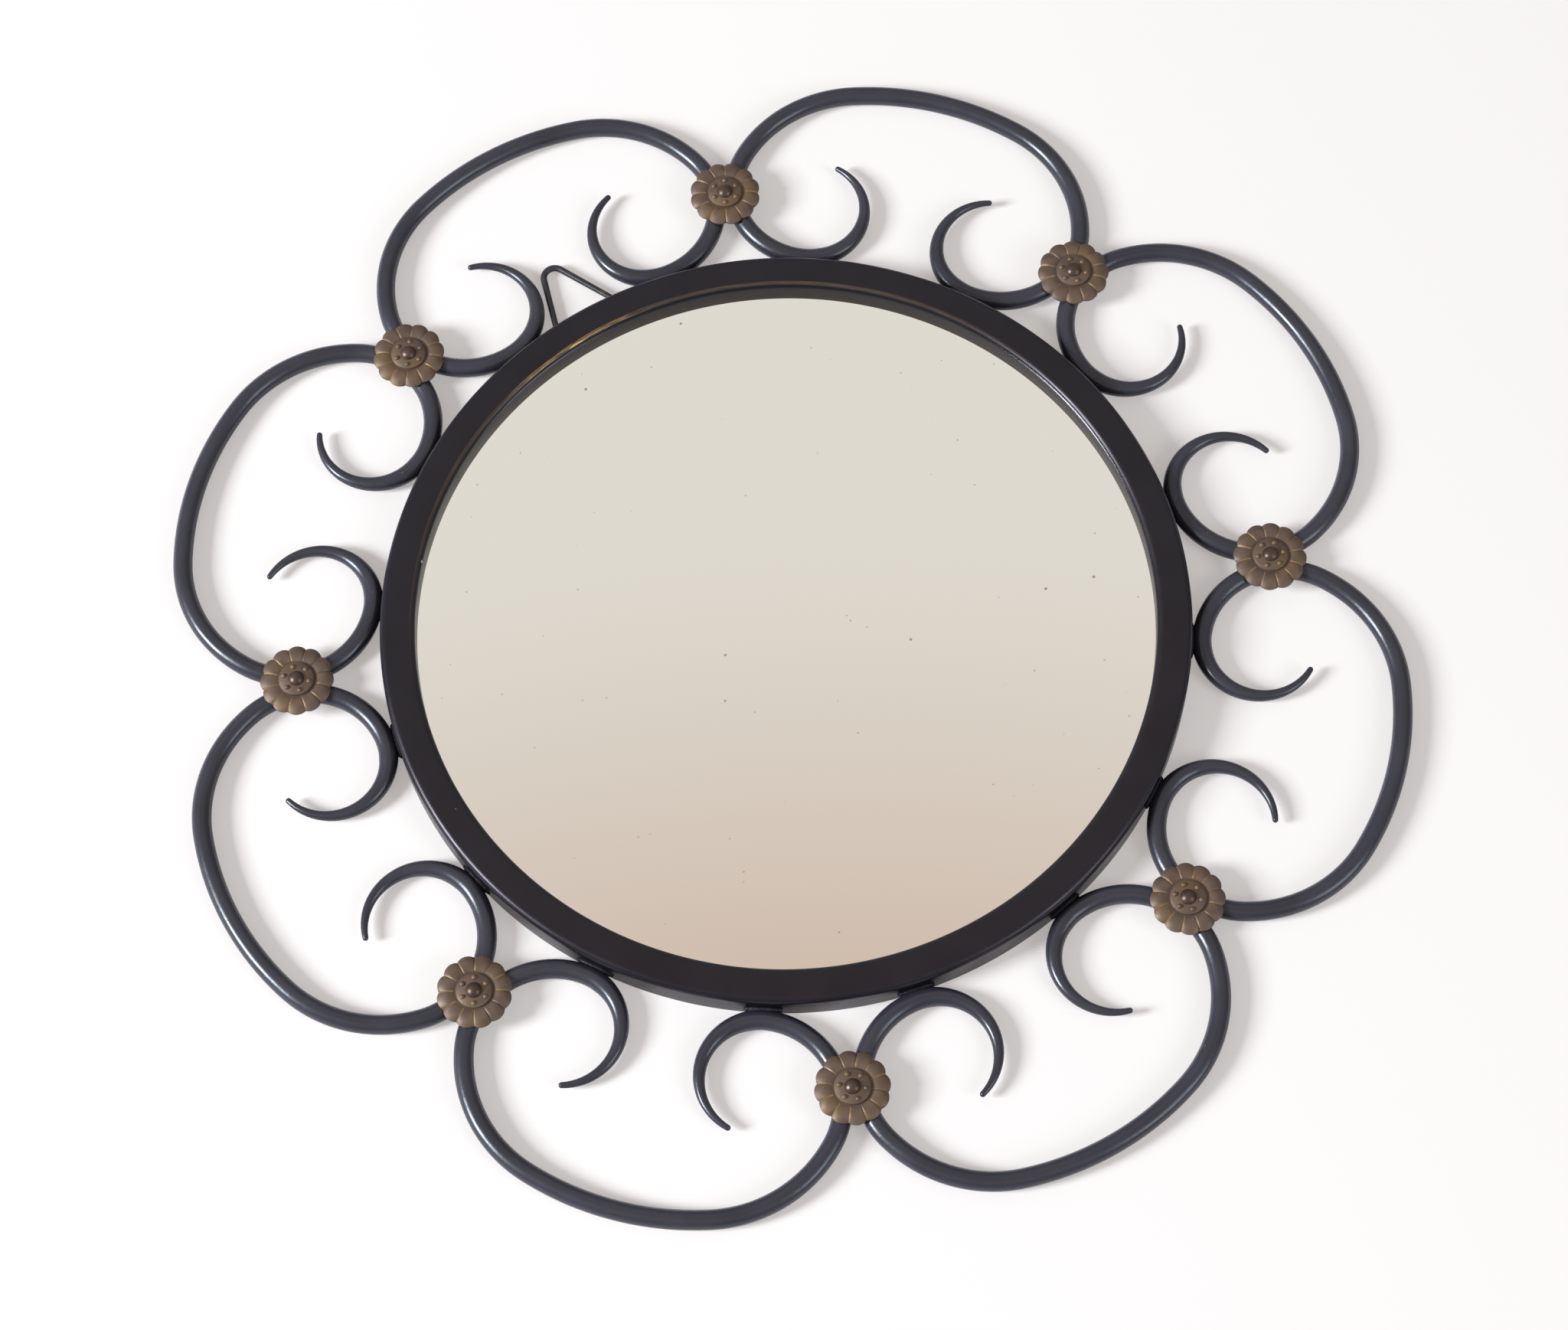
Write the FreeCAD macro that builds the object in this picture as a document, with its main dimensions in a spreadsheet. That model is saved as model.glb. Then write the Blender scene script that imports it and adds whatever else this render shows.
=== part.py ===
import FreeCAD, Part
import math
import os
import Sketcher

# Flower mirror: a round mirror in a black steel ring, with eight wrought scrolls and brass rosettes.
# It lies on its back. The origin is the middle of the ring on the back plane, +Z points out of the front
# and +Y points to the hanger. Lengths are millimetres and angles are degrees. A turn is measured clockwise
# from +Y, seen from the front, because each scroll starts at its crown and curls that way.

SHEET = "Sizes"

SIZES = (
    # The scrolls: round bar bent in four arcs that grow tighter from the crown to the curl.
    ("petal_count", 8),
    ("rod_diameter", 8.5),
    ("rod_lift", 0.2),
    ("crown_radius", 130.0),
    ("shoulder_radius", 60.0),
    ("flank_radius", 36.5),
    ("curl_radius", 25.0),
    ("shoulder_turn", 77.0),
    ("flank_turn", 187.0),
    ("taper_turn", 205.0),
    ("tip_turn", 344.0),
    ("tip_diameter", 2.6),
    ("root_gap", 0.3),
    # The ring: a channel of sheet steel with a long outer leg and a short inner leg.
    ("ring_radius", 177.0),
    ("ring_width", 15.4),
    ("ring_height", 15.0),
    ("ring_sheet", 1.5),
    ("ring_edge_radius", 3.0),
    # The glass and what holds it in the ring.
    ("glass_setback", 7.4),
    ("glass_thickness", 3.0),
    ("glass_chamfer", 0.4),
    ("card_thickness", 0.8),
    ("board_thickness", 3.0),
    ("disc_clearance", 1.0),
    ("tab_count", 8),
    ("tab_sheet", 0.6),
    ("tab_width", 14.0),
    ("tab_reach", 10.0),
    ("tab_rise", 5.0),
    # The rosettes: stamped sheet with a raised middle, a ring of petals and a dome-headed rivet.
    ("rosette_diameter", 32.0),
    ("rosette_gap", 0.05),
    ("rosette_petals", 12),
    ("rosette_lobe_radius", 5.5),
    ("rosette_sheet", 1.0),
    ("rosette_rim", 1.0),
    ("rosette_crest", 2.5),
    ("rosette_middle_radius", 7.7),
    ("rosette_middle_height", 3.2),
    ("rosette_channel_width", 0.9),
    ("rosette_channel_height", 2.1),
    ("vein_width", 0.5),
    ("vein_depth", 0.3),
    ("stamen_count", 6),
    ("stamen_circle_radius", 5.7),
    ("stamen_radius", 1.1),
    ("rosette_1_turn", 346.7),
    ("rosette_2_turn", 1.0),
    ("rosette_3_turn", 25.7),
    ("rosette_4_turn", 2.1),
    ("rosette_5_turn", 8.0),
    ("rosette_6_turn", 346.1),
    ("rosette_7_turn", 2.6),
    ("rosette_8_turn", 41.4),
    ("rivet_head_diameter", 7.0),
    ("rivet_head_height", 2.2),
    ("rivet_shank_diameter", 3.0),
    ("rivet_tail_diameter", 5.0),
    ("rivet_tail_height", 1.3),
    ("rivet_clearance", 0.1),
    # The weld beads in the corners between the curls and the ring.
    ("bead_length", 22.0),
    ("bead_height", 6.4),
    ("bead_depth", 6.0),
    ("bead_clearance", 0.05),
    # The hanger: a V of thin wire that leans a little to one side.
    ("hanger_wire", 3.0),
    ("hanger_lift", 1.2),
    ("hanger_foot_gap", 11.2),
    ("hanger_leg_angle", 20.4),
    ("hanger_bend_radius", 5.0),
    ("hanger_lean", 7.0),
    ("hanger_shift", 1.8),
    ("hanger_bead_diameter", 5.2),
    ("hanger_bead_length", 2.2),
)

# Angles that are parts of a whole turn.
FULL_TURN = 360
HALF_TURN = 180
QUARTER_TURN = 90
# How far a cut runs past the material that it cuts.
OVERRUN = 2.0
# Lengths below this count as none.
NOTHING = 1e-6


class Size:
    """A number together with the sheet expression that gives it."""

    def __init__(self, number, text):
        self.number = number
        self.text = text

    def joined(self, sign, other, number):
        return Size(number, f"({self.text} {sign} {other.text})")

    def __add__(self, other):
        other = as_size(other)
        return self.joined("+", other, self.number + other.number)

    def __radd__(self, other):
        return as_size(other) + self

    def __sub__(self, other):
        other = as_size(other)
        return self.joined("-", other, self.number - other.number)

    def __rsub__(self, other):
        return as_size(other) - self

    def __mul__(self, other):
        other = as_size(other)
        return self.joined("*", other, self.number * other.number)

    def __rmul__(self, other):
        return as_size(other) * self

    def __truediv__(self, other):
        other = as_size(other)
        return self.joined("/", other, self.number / other.number)

    def __rtruediv__(self, other):
        return as_size(other) / self


def as_size(value):
    if isinstance(value, Size):
        return value
    return Size(value, repr(value))


def sine(angle):
    angle = as_size(angle)
    return Size(math.sin(math.radians(angle.number)), f"sin({angle.text})")


def cosine(angle):
    angle = as_size(angle)
    return Size(math.cos(math.radians(angle.number)), f"cos({angle.text})")


def arc_tangent(value):
    return Size(math.degrees(math.atan(value.number)), f"(atan({value.text}) / (1 deg))")


def root(value):
    return Size(math.sqrt(value.number), f"sqrt({value.text})")


doc = FreeCAD.newDocument("FlowerMirror")
sheet = doc.addObject("Spreadsheet::Sheet", SHEET)


def add_cell(name, content):
    row = len(cells) + 1
    cells.append(name)
    sheet.set(f"A{row}", name)
    sheet.set(f"B{row}", content)
    sheet.setAlias(f"B{row}", name)


def derived(name, size):
    """Keep a worked-out size in its own cell, so that later expressions stay short."""
    add_cell(name, "=" + size.text.replace(SHEET + ".", ""))
    return Size(size.number, f"{SHEET}.{name}")


cells = []
for size_name, size_value in SIZES:
    add_cell(size_name, str(size_value))
S = {size_name: Size(size_value, f"{SHEET}.{size_name}") for size_name, size_value in SIZES}


# Layout of one scroll in the plane of the bar. The curl touches the ring, the flank touches the neighbour at
# the edge of the petal's sector, and the crown's centre is on the petal's axis.
petal_count = S["petal_count"]
rod_radius = derived("rod_radius", S["rod_diameter"] / 2)
petal_step = derived("petal_step", FULL_TURN / petal_count)
half_step = derived("half_step", HALF_TURN / petal_count)
flank_offset = derived("flank_offset", S["flank_radius"] + rod_radius + S["root_gap"] / 2)
curl_reach = derived("curl_reach", S["ring_radius"] + S["root_gap"] + rod_radius + S["curl_radius"])
tighter = derived("tighter", S["flank_radius"] - S["curl_radius"])
step_x = derived("step_x", tighter * sine(S["flank_turn"]))
step_y = derived("step_y", tighter * cosine(S["flank_turn"]))
along = derived("along", step_x * sine(half_step) + step_y * cosine(half_step))
across_x = derived("across_x", step_x - flank_offset * cosine(half_step))
across_y = derived("across_y", step_y + flank_offset * sine(half_step))
under_root = along * along - across_x * across_x - across_y * across_y + curl_reach * curl_reach
rosette_circle = derived("rosette_circle", root(under_root) - along)
flank_x = derived("flank_x", rosette_circle * sine(half_step) - flank_offset * cosine(half_step))
flank_y = derived("flank_y", rosette_circle * cosine(half_step) + flank_offset * sine(half_step))
curl_x = derived("curl_x", flank_x + step_x)
curl_y = derived("curl_y", flank_y + step_y)
curl_turn = derived("curl_turn", arc_tangent(curl_x / curl_y))
softer = derived("softer", S["shoulder_radius"] - S["flank_radius"])
shoulder_x = derived("shoulder_x", flank_x - softer * sine(S["shoulder_turn"]))
shoulder_y = derived("shoulder_y", flank_y - softer * cosine(S["shoulder_turn"]))
crown_sine = derived("crown_sine", shoulder_x / (S["crown_radius"] - S["shoulder_radius"]))
crown_cosine = derived("crown_cosine", root(1 - crown_sine * crown_sine))
crown_y = derived("crown_y", shoulder_y - (S["crown_radius"] - S["shoulder_radius"]) * crown_cosine)
crown_height = derived("crown_height", crown_y + S["crown_radius"])

# Heights above the back plane.
rod_axis = derived("rod_axis", S["rod_lift"] + rod_radius)
rod_top = derived("rod_top", rod_axis + rod_radius)
glass_front = derived("glass_front", S["ring_height"] - S["glass_setback"])
glass_back = derived("glass_back", glass_front - S["glass_thickness"])
card_back = derived("card_back", glass_back - S["card_thickness"])
board_back = derived("board_back", card_back - S["board_thickness"])

# Radii of the ring and of the discs inside it.
leg_inside = derived("leg_inside", S["ring_radius"] - S["ring_sheet"])
mouth_radius = derived("mouth_radius", S["ring_radius"] - S["ring_width"])
disc_radius = derived("disc_radius", leg_inside - S["disc_clearance"])


def bind(thing, path, size):
    thing.setExpression(path, as_size(size).text)


def origin_part(body, role):
    return next(part for part in body.Origin.OriginFeatures if part.Role == role)


def new_body(label):
    body = doc.addObject("PartDesign::Body", label)
    body.Label = label
    return body


def new_sketch(body, name, role):
    sketch = body.newObject("Sketcher::SketchObject", f"{body.Label}_{name}")
    sketch.AttachmentSupport = [(origin_part(body, role), "")]
    sketch.MapMode = "FlatFace"
    return sketch


def hold(sketch, edge, end, x, y):
    """Hold one point of an edge at a place given by two sizes."""
    for kind, axis, size in (("DistanceX", -2, as_size(x)), ("DistanceY", -1, as_size(y))):
        if abs(size.number) < NOTHING:
            sketch.addConstraint(Sketcher.Constraint("PointOnObject", edge, end, axis))
            continue
        index = sketch.addConstraint(Sketcher.Constraint(kind, -1, 1, edge, end, size.number))
        sketch.setExpression(f"Constraints[{index}]", size.text)


def hold_radius(sketch, edge, radius):
    index = sketch.addConstraint(Sketcher.Constraint("Radius", edge, radius.number))
    sketch.setExpression(f"Constraints[{index}]", radius.text)


def add_circle(sketch, x, y, radius):
    centre = FreeCAD.Vector(as_size(x).number, as_size(y).number, 0)
    edge = sketch.addGeometry(Part.Circle(centre, FreeCAD.Vector(0, 0, 1), radius.number), False)
    hold(sketch, edge, 3, x, y)
    hold_radius(sketch, edge, radius)


def arc_between(start, end, radius, clockwise):
    """The shorter arc between two points, and whether it runs from end to start."""
    chord = end - start
    middle = (start + end) * 0.5
    left = FreeCAD.Vector(-chord.y, chord.x, 0).normalize()
    rise = math.sqrt(max(radius * radius - chord.Length * chord.Length / 4, 0.0))
    centre = middle - left * rise if clockwise else middle + left * rise
    first, last = (end, start) if clockwise else (start, end)
    angles = [math.atan2(point.y - centre.y, point.x - centre.x) for point in (first, last)]
    circle = Part.Circle(centre, FreeCAD.Vector(0, 0, 1), radius)
    return Part.ArcOfCircle(circle, *angles)


def add_outline(sketch, corners, closed=True):
    """Draw lines and arcs through corners given as (x, y) or (x, y, radius, clockwise).

    A corner with a radius starts an arc to the next corner. Every corner is held by its two sizes.
    """
    points = [FreeCAD.Vector(as_size(c[0]).number, as_size(c[1]).number, 0) for c in corners]
    count = len(corners) if closed else len(corners) - 1
    ends = []
    for i in range(count):
        start, end = points[i], points[(i + 1) % len(points)]
        if len(corners[i]) == 2:
            edge = sketch.addGeometry(Part.LineSegment(start, end), False)
            ends.append((edge, 1, 2))
            continue
        radius, clockwise = corners[i][2:]
        edge = sketch.addGeometry(arc_between(start, end, radius.number, clockwise), False)
        ends.append((edge, 2, 1) if clockwise else (edge, 1, 2))
        hold_radius(sketch, edge, radius)
    for i, (edge, start, end) in enumerate(ends):
        hold(sketch, edge, start, *corners[i][:2])
        if i + 1 < count or closed:
            follower = ends[(i + 1) % count]
            sketch.addConstraint(Sketcher.Constraint("Coincident", edge, end, follower[0], follower[1]))
    if not closed:
        hold(sketch, ends[-1][0], ends[-1][2], *corners[-1][:2])


def add_feature(body, kind, name, sketch):
    feature = body.newObject(f"PartDesign::{kind}", f"{body.Label}_{name}")
    feature.Profile = sketch
    body.Tip = feature
    return feature


def turn_about_z(body, kind, name, sketch):
    """Turn a sketch that stands on the XZ plane about the body's Z axis."""
    feature = add_feature(body, kind, name, sketch)
    feature.ReferenceAxis = (sketch, ["V_Axis"])
    feature.Angle = FULL_TURN
    return feature


def pad(body, name, sketch, length):
    feature = add_feature(body, "Pad", name, sketch)
    bind(feature, "Length", length)
    return feature


def pocket_through(body, name, sketch):
    feature = add_feature(body, "Pocket", name, sketch)
    feature.Type = "ThroughAll"
    feature.SideType = "Symmetric"
    return feature


def mirror_whole(body, name):
    doc.recompute()
    feature = body.newObject("PartDesign::Mirrored", f"{body.Label}_{name}")
    feature.TransformMode = "Whole shape"
    feature.MirrorPlane = (origin_part(body, "YZ_Plane"), [""])
    body.Tip = feature
    return feature


def polar_pattern(body, name, count, originals=None):
    doc.recompute()
    feature = body.newObject("PartDesign::PolarPattern", f"{body.Label}_{name}")
    if originals:
        feature.Originals = originals
    else:
        feature.TransformMode = "Whole shape"
    feature.Axis = (origin_part(body, "Z_Axis"), [""])
    feature.Angle = FULL_TURN
    bind(feature, "Occurrences", count)
    body.Tip = feature
    return feature


def clone(source, label):
    body = new_body(label)
    base = body.newObject("PartDesign::FeatureBase", f"{label}_base")
    base.BaseFeature = source
    body.Tip = base
    return body


def put(thing, x=0, y=0, z=0, angle=None):
    """Place a sub-part by sizes, turned about Z by an angle."""
    place = FreeCAD.Placement()
    if angle is not None:
        place.Rotation = FreeCAD.Rotation(FreeCAD.Vector(0, 0, 1), as_size(angle).number)
    thing.Placement = place
    for path, size in (("x", x), ("y", y), ("z", z)):
        if isinstance(size, Size):
            bind(thing, f"Placement.Base.{path}", size)
    if angle is not None:
        bind(thing, "Placement.Rotation.Angle", angle)


def radial_sketch(body, name, centre_x, centre_y, turn):
    """A sketch that stands on a vertical plane, with its x axis pointing along a turn from a centre."""
    sketch = new_sketch(body, name, "XZ_Plane")
    angle = FULL_TURN + QUARTER_TURN - as_size(turn)
    place = FreeCAD.Vector(as_size(centre_x).number, 0, -as_size(centre_y).number)
    upright = FreeCAD.Rotation(FreeCAD.Vector(0, 1, 0), angle.number)
    sketch.AttachmentOffset = FreeCAD.Placement(place, upright)
    bind(sketch, "AttachmentOffset.Base.x", centre_x)
    bind(sketch, "AttachmentOffset.Base.z", 0 - as_size(centre_y))
    bind(sketch, "AttachmentOffset.Rotation.Angle", angle)
    return sketch


def on_arc(centre_x, centre_y, radius, turn):
    """The point of an arc at a turn."""
    return centre_x + radius * sine(turn), centre_y + radius * cosine(turn)


def make_frame_ring():
    body = new_body("frame_ring")
    sketch = new_sketch(body, "section", "XZ_Plane")
    top, edge, sheet_thick = S["ring_height"], S["ring_edge_radius"], S["ring_sheet"]
    inner_edge = edge - sheet_thick
    outer = S["ring_radius"]
    corners = [
        (leg_inside, 0),
        (outer, 0),
        (outer, top - edge, edge, False),
        (outer - edge, top),
        (mouth_radius + edge, top, edge, False),
        (mouth_radius, top - edge),
        (mouth_radius, glass_front),
        (mouth_radius + sheet_thick, glass_front),
        (mouth_radius + sheet_thick, top - edge, inner_edge, True),
        (mouth_radius + edge, top - sheet_thick),
        (outer - edge, top - sheet_thick, inner_edge, True),
        (leg_inside, top - edge),
    ]
    add_outline(sketch, corners)
    turn_about_z(body, "Revolution", "channel", sketch)
    return body


def make_disc(label, bottom, thickness):
    body = new_body(label)
    sketch = new_sketch(body, "outline", "XY_Plane")
    add_circle(sketch, 0, 0, disc_radius)
    pad(body, "sheet", sketch, thickness)
    put(body, z=bottom)
    return body


def make_mirror_glass():
    """The glass is turned with its ground edges in the section."""
    body = new_body("mirror_glass")
    sketch = new_sketch(body, "section", "XZ_Plane")
    ground, thick = S["glass_chamfer"], S["glass_thickness"]
    corners = [
        (0, 0),
        (disc_radius - ground, 0),
        (disc_radius, ground),
        (disc_radius, thick - ground),
        (disc_radius - ground, thick),
        (0, thick),
    ]
    add_outline(sketch, corners)
    turn_about_z(body, "Revolution", "disc", sketch)
    put(body, z=glass_back)
    return body


def make_retaining_tabs():
    """Sheet tabs that stand on the inside of the outer leg and fold in over the board."""
    body = new_body("retaining_tabs")
    sketch = new_sketch(body, "section", "XZ_Plane")
    low = board_back - S["tab_sheet"]
    corners = [
        (leg_inside - S["tab_reach"], low),
        (leg_inside, low),
        (leg_inside, board_back + S["tab_rise"]),
        (leg_inside - S["tab_sheet"], board_back + S["tab_rise"]),
        (leg_inside - S["tab_sheet"], board_back),
        (leg_inside - S["tab_reach"], board_back),
    ]
    add_outline(sketch, corners)
    tab = turn_about_z(body, "Revolution", "tab", sketch)
    tab.Midplane = True
    bind(tab, "Angle", S["tab_width"] / leg_inside * (HALF_TURN / math.pi))
    polar_pattern(body, "tabs", S["tab_count"])
    return body


def make_scroll(label):
    body = new_body(label)
    path = new_sketch(body, "path", "XY_Plane")
    taper_start = on_arc(curl_x, curl_y, S["curl_radius"], S["taper_turn"])
    crown_end = (crown_sine * S["crown_radius"], crown_y + crown_cosine * S["crown_radius"])
    shoulder_end = on_arc(shoulder_x, shoulder_y, S["shoulder_radius"], S["shoulder_turn"])
    flank_end = on_arc(flank_x, flank_y, S["flank_radius"], S["flank_turn"])
    corners = [
        (0, crown_height, S["crown_radius"], True),
        (*crown_end, S["shoulder_radius"], True),
        (*shoulder_end, S["flank_radius"], True),
        (*flank_end, S["curl_radius"], True),
        taper_start,
    ]
    add_outline(path, corners, closed=False)
    section = new_sketch(body, "section", "YZ_Plane")
    add_circle(section, crown_height, 0, rod_radius)
    bar = add_feature(body, "AdditivePipe", "bar", section)
    bar.Spine = path

    taper_path = new_sketch(body, "taper_path", "XY_Plane")
    tip = on_arc(curl_x, curl_y, S["curl_radius"], S["tip_turn"])
    add_outline(taper_path, [(*taper_start, S["curl_radius"], True), tip], closed=False)
    thick_end = radial_sketch(body, "thick_end", curl_x, curl_y, S["taper_turn"])
    add_circle(thick_end, S["curl_radius"], 0, rod_radius)
    thin_end = radial_sketch(body, "thin_end", curl_x, curl_y, S["tip_turn"])
    add_circle(thin_end, S["curl_radius"], 0, S["tip_diameter"] / 2)
    taper = add_feature(body, "AdditivePipe", "taper", thick_end)
    taper.Spine = taper_path
    taper.Transformation = "Multisection"
    taper.Sections = [thin_end]

    hole = radial_sketch(body, "rivet_hole", *kiss_point(0), half_step)
    add_outline(hole, rivet_hole_corners())
    turn_about_z(body, "Groove", "rivet_hole", hole)
    mirror_whole(body, "both_halves")
    return body


def kiss_point(index):
    """Where the scroll with this index touches the next one."""
    turn = half_step + petal_step * index
    return rosette_circle * sine(turn), rosette_circle * cosine(turn)


def rivet_hole_corners():
    """Half of the rivet's hole, with its countersink, in a sketch whose y axis is the rivet's axis."""
    shank = S["rivet_shank_diameter"] / 2 + S["rivet_clearance"]
    tail = S["rivet_tail_diameter"] / 2 + S["rivet_clearance"]
    seat = S["rivet_tail_height"] + S["rivet_clearance"] - rod_radius
    bottom = 0 - rod_radius
    return [
        (0, bottom - OVERRUN),
        (tail, bottom - OVERRUN),
        (tail, bottom),
        (shank, seat),
        (shank, rod_radius + OVERRUN),
        (0, rod_radius + OVERRUN),
    ]


def make_rosette(label):
    """One petal with its share of the middle is cut to shape and then repeated round the axis."""
    body = new_body(label)
    rim_radius = S["rosette_diameter"] / 2
    half_petal = HALF_TURN / S["rosette_petals"]
    lobe = S["rosette_lobe_radius"]
    lobe_centre = rim_radius - lobe
    half_chord = lobe_centre * sine(half_petal)
    notch = lobe_centre * cosine(half_petal) + root(lobe * lobe - half_chord * half_chord)
    height = S["rosette_middle_height"]
    bore = S["rivet_shank_diameter"] / 2 + S["rivet_clearance"]
    notch_x, notch_y = notch * cosine(half_petal), notch * sine(half_petal)
    bore_x, bore_y = bore * cosine(half_petal), bore * sine(half_petal)

    outline = new_sketch(body, "petal_outline", "XY_Plane")
    corners = [
        (bore_x, 0 - bore_y),
        (notch_x, 0 - notch_y, lobe, False),
        (notch_x, notch_y),
        (bore_x, bore_y),
    ]
    add_outline(outline, corners)
    pad(body, "petal", outline, height)

    sheet_thick = S["rosette_sheet"]
    middle = S["rosette_middle_radius"]
    channel = middle + S["rosette_channel_width"]
    channel_height = S["rosette_channel_height"]
    bulge = crest_radius(channel, channel_height, rim_radius, S["rosette_rim"], S["rosette_crest"])
    above = height + OVERRUN
    outside = rim_radius + OVERRUN
    crown_cut = new_sketch(body, "front_cut", "XZ_Plane")
    corners = [
        (middle, height),
        (middle, channel_height),
        (channel, channel_height, bulge, True),
        (rim_radius, S["rosette_rim"]),
        (outside, S["rosette_rim"]),
        (outside, above),
        (middle, above),
    ]
    add_outline(crown_cut, corners)
    turn_about_z(body, "Groove", "front", crown_cut)

    hollow_cut = new_sketch(body, "hollow_cut", "XZ_Plane")
    hollow_rim = rim_radius - S["rosette_lobe_radius"] / 2
    corners = [
        (0, 0 - OVERRUN),
        (hollow_rim, 0 - OVERRUN),
        (hollow_rim, 0),
        (channel, channel_height - sheet_thick),
        (middle - sheet_thick, channel_height - sheet_thick),
        (middle - sheet_thick, height - sheet_thick),
        (0, height - sheet_thick),
    ]
    add_outline(hollow_cut, corners)
    turn_about_z(body, "Groove", "hollow", hollow_cut)

    polar_pattern(body, "petals", S["rosette_petals"])

    vein = radial_sketch(body, "vein", 0, 0, QUARTER_TURN - half_petal)
    depth = S["vein_depth"]
    corners = [
        (channel, channel_height - depth, bulge, True),
        (rim_radius, S["rosette_rim"] - depth),
        (outside, S["rosette_rim"] - depth),
        (outside, above),
        (channel, above),
    ]
    add_outline(vein, corners)
    vein_cut = add_feature(body, "Pocket", "vein", vein)
    vein_cut.SideType = "Symmetric"
    bind(vein_cut, "Length", S["vein_width"])
    polar_pattern(body, "veins", S["rosette_petals"], [vein_cut])

    stamen = radial_sketch(body, "stamen", 0, 0, QUARTER_TURN - half_petal)
    dot, dots = S["stamen_radius"], S["stamen_circle_radius"]
    corners = [
        (dots, height - sheet_thick / 2),
        (dots + dot, height - sheet_thick / 2),
        (dots + dot, height, dot, False),
        (dots, height + dot),
    ]
    add_outline(stamen, corners)
    stamen_axis = stamen.addGeometry(Part.LineSegment(*axis_points(dots, height)), True)
    hold(stamen, stamen_axis, 1, dots, height)
    hold(stamen, stamen_axis, 2, dots, height + OVERRUN)
    knob = add_feature(body, "Revolution", "stamen", stamen)
    knob.ReferenceAxis = (stamen, ["Axis0"])
    knob.Angle = FULL_TURN
    polar_pattern(body, "stamens", S["stamen_count"], [knob])
    return body


def axis_points(x, y):
    start = FreeCAD.Vector(as_size(x).number, as_size(y).number, 0)
    return start, start + FreeCAD.Vector(0, OVERRUN, 0)


def crest_radius(start_x, start_y, end_x, end_y, crest):
    """Radius of the arc through a start and an end that rises to a crest above the middle of the two."""
    run = end_x - start_x
    drop = start_y - end_y
    chord = root(run * run + drop * drop)
    rise = crest - (start_y + end_y) / 2
    return (chord * chord / 4 + rise * rise) / (2 * rise)


def make_rivet(label):
    """A dome head on the rosette, a shank between the bars and a tail set into the countersink."""
    body = new_body(label)
    sketch = new_sketch(body, "section", "XZ_Plane")
    head, height = S["rivet_head_diameter"] / 2, S["rivet_head_height"]
    shank, tail = S["rivet_shank_diameter"] / 2, S["rivet_tail_diameter"] / 2
    dome = (head * head + height * height) / (2 * height)
    bottom = 0 - S["rosette_middle_height"] - S["rosette_gap"] - S["rod_diameter"]
    corners = [
        (0, bottom),
        (tail, bottom),
        (shank, bottom + S["rivet_tail_height"]),
        (shank, 0),
        (head, 0, dome, False),
        (0, height),
    ]
    add_outline(sketch, corners)
    turn_about_z(body, "Revolution", "rivet", sketch)
    return body


def make_curl_welds(label):
    """A bead fills the corners beside a curl, and its mirror image those beside the scroll's other curl."""
    body = new_body(label)
    half_height = S["bead_height"] / 2
    middle = S["ring_radius"] + S["root_gap"] / 2
    inner, outer = middle - S["bead_depth"] / 2, middle + S["bead_depth"] / 2
    blank = radial_sketch(body, "blank", 0, 0, curl_turn)
    corners = [
        (inner, 0 - half_height),
        (outer, 0 - half_height),
        (outer, half_height),
        (inner, half_height),
    ]
    add_outline(blank, corners)
    block = pad(body, "blank", blank, S["bead_length"])
    block.SideType = "Symmetric"

    arcs = (
        ("curl", curl_x, curl_y, S["curl_radius"], True),
        ("flank", flank_x, flank_y, S["flank_radius"], False),
    )
    for name, x, y, radius, backwards in arcs:
        bar = radial_sketch(body, f"{name}_bar", x, y, S["flank_turn"])
        add_circle(bar, radius, 0, rod_radius + S["bead_clearance"])
        groove = turn_about_z(body, "Groove", f"{name}_bar", bar)
        groove.Angle = QUARTER_TURN
        groove.Reversed = backwards

    wall = new_sketch(body, "wall", "XY_Plane")
    add_circle(wall, 0, 0, S["ring_radius"] + S["bead_clearance"])
    pocket_through(body, "wall", wall)
    mirror_whole(body, "pair")
    return body


# Layout of the hanger in its own frame: the foot is between the legs on the ring's outside and +Y is the apex.
# The legs stand clear of the two curls beside them and lean in towards the bend.
leg_angle = S["hanger_leg_angle"]
bar_outside = derived("bar_outside", S["curl_radius"] + rod_radius)
curl_above = derived("curl_above", curl_y - S["ring_radius"])
foot_room = derived("foot_room", curl_x - root(bar_outside * bar_outside - curl_above * curl_above))
half_base = derived("half_base", foot_room - S["hanger_foot_gap"] - S["hanger_wire"] / 2)
bend_reach = half_base * cosine(leg_angle) - S["hanger_bend_radius"]
bend_y = derived("bend_y", bend_reach / sine(leg_angle))
hanger_rise = derived("hanger_rise", bend_y + S["hanger_bend_radius"])
touch_x = derived("touch_x", S["hanger_bend_radius"] * cosine(leg_angle))
touch_y = derived("touch_y", bend_y + S["hanger_bend_radius"] * sine(leg_angle))
foot_x = derived("foot_x", 0 - S["hanger_shift"])
foot_y = derived("foot_y", root(S["ring_radius"] * S["ring_radius"] - foot_x * foot_x))
hanger_axis = derived("hanger_axis", S["hanger_lift"] + S["hanger_wire"] / 2)


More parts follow.
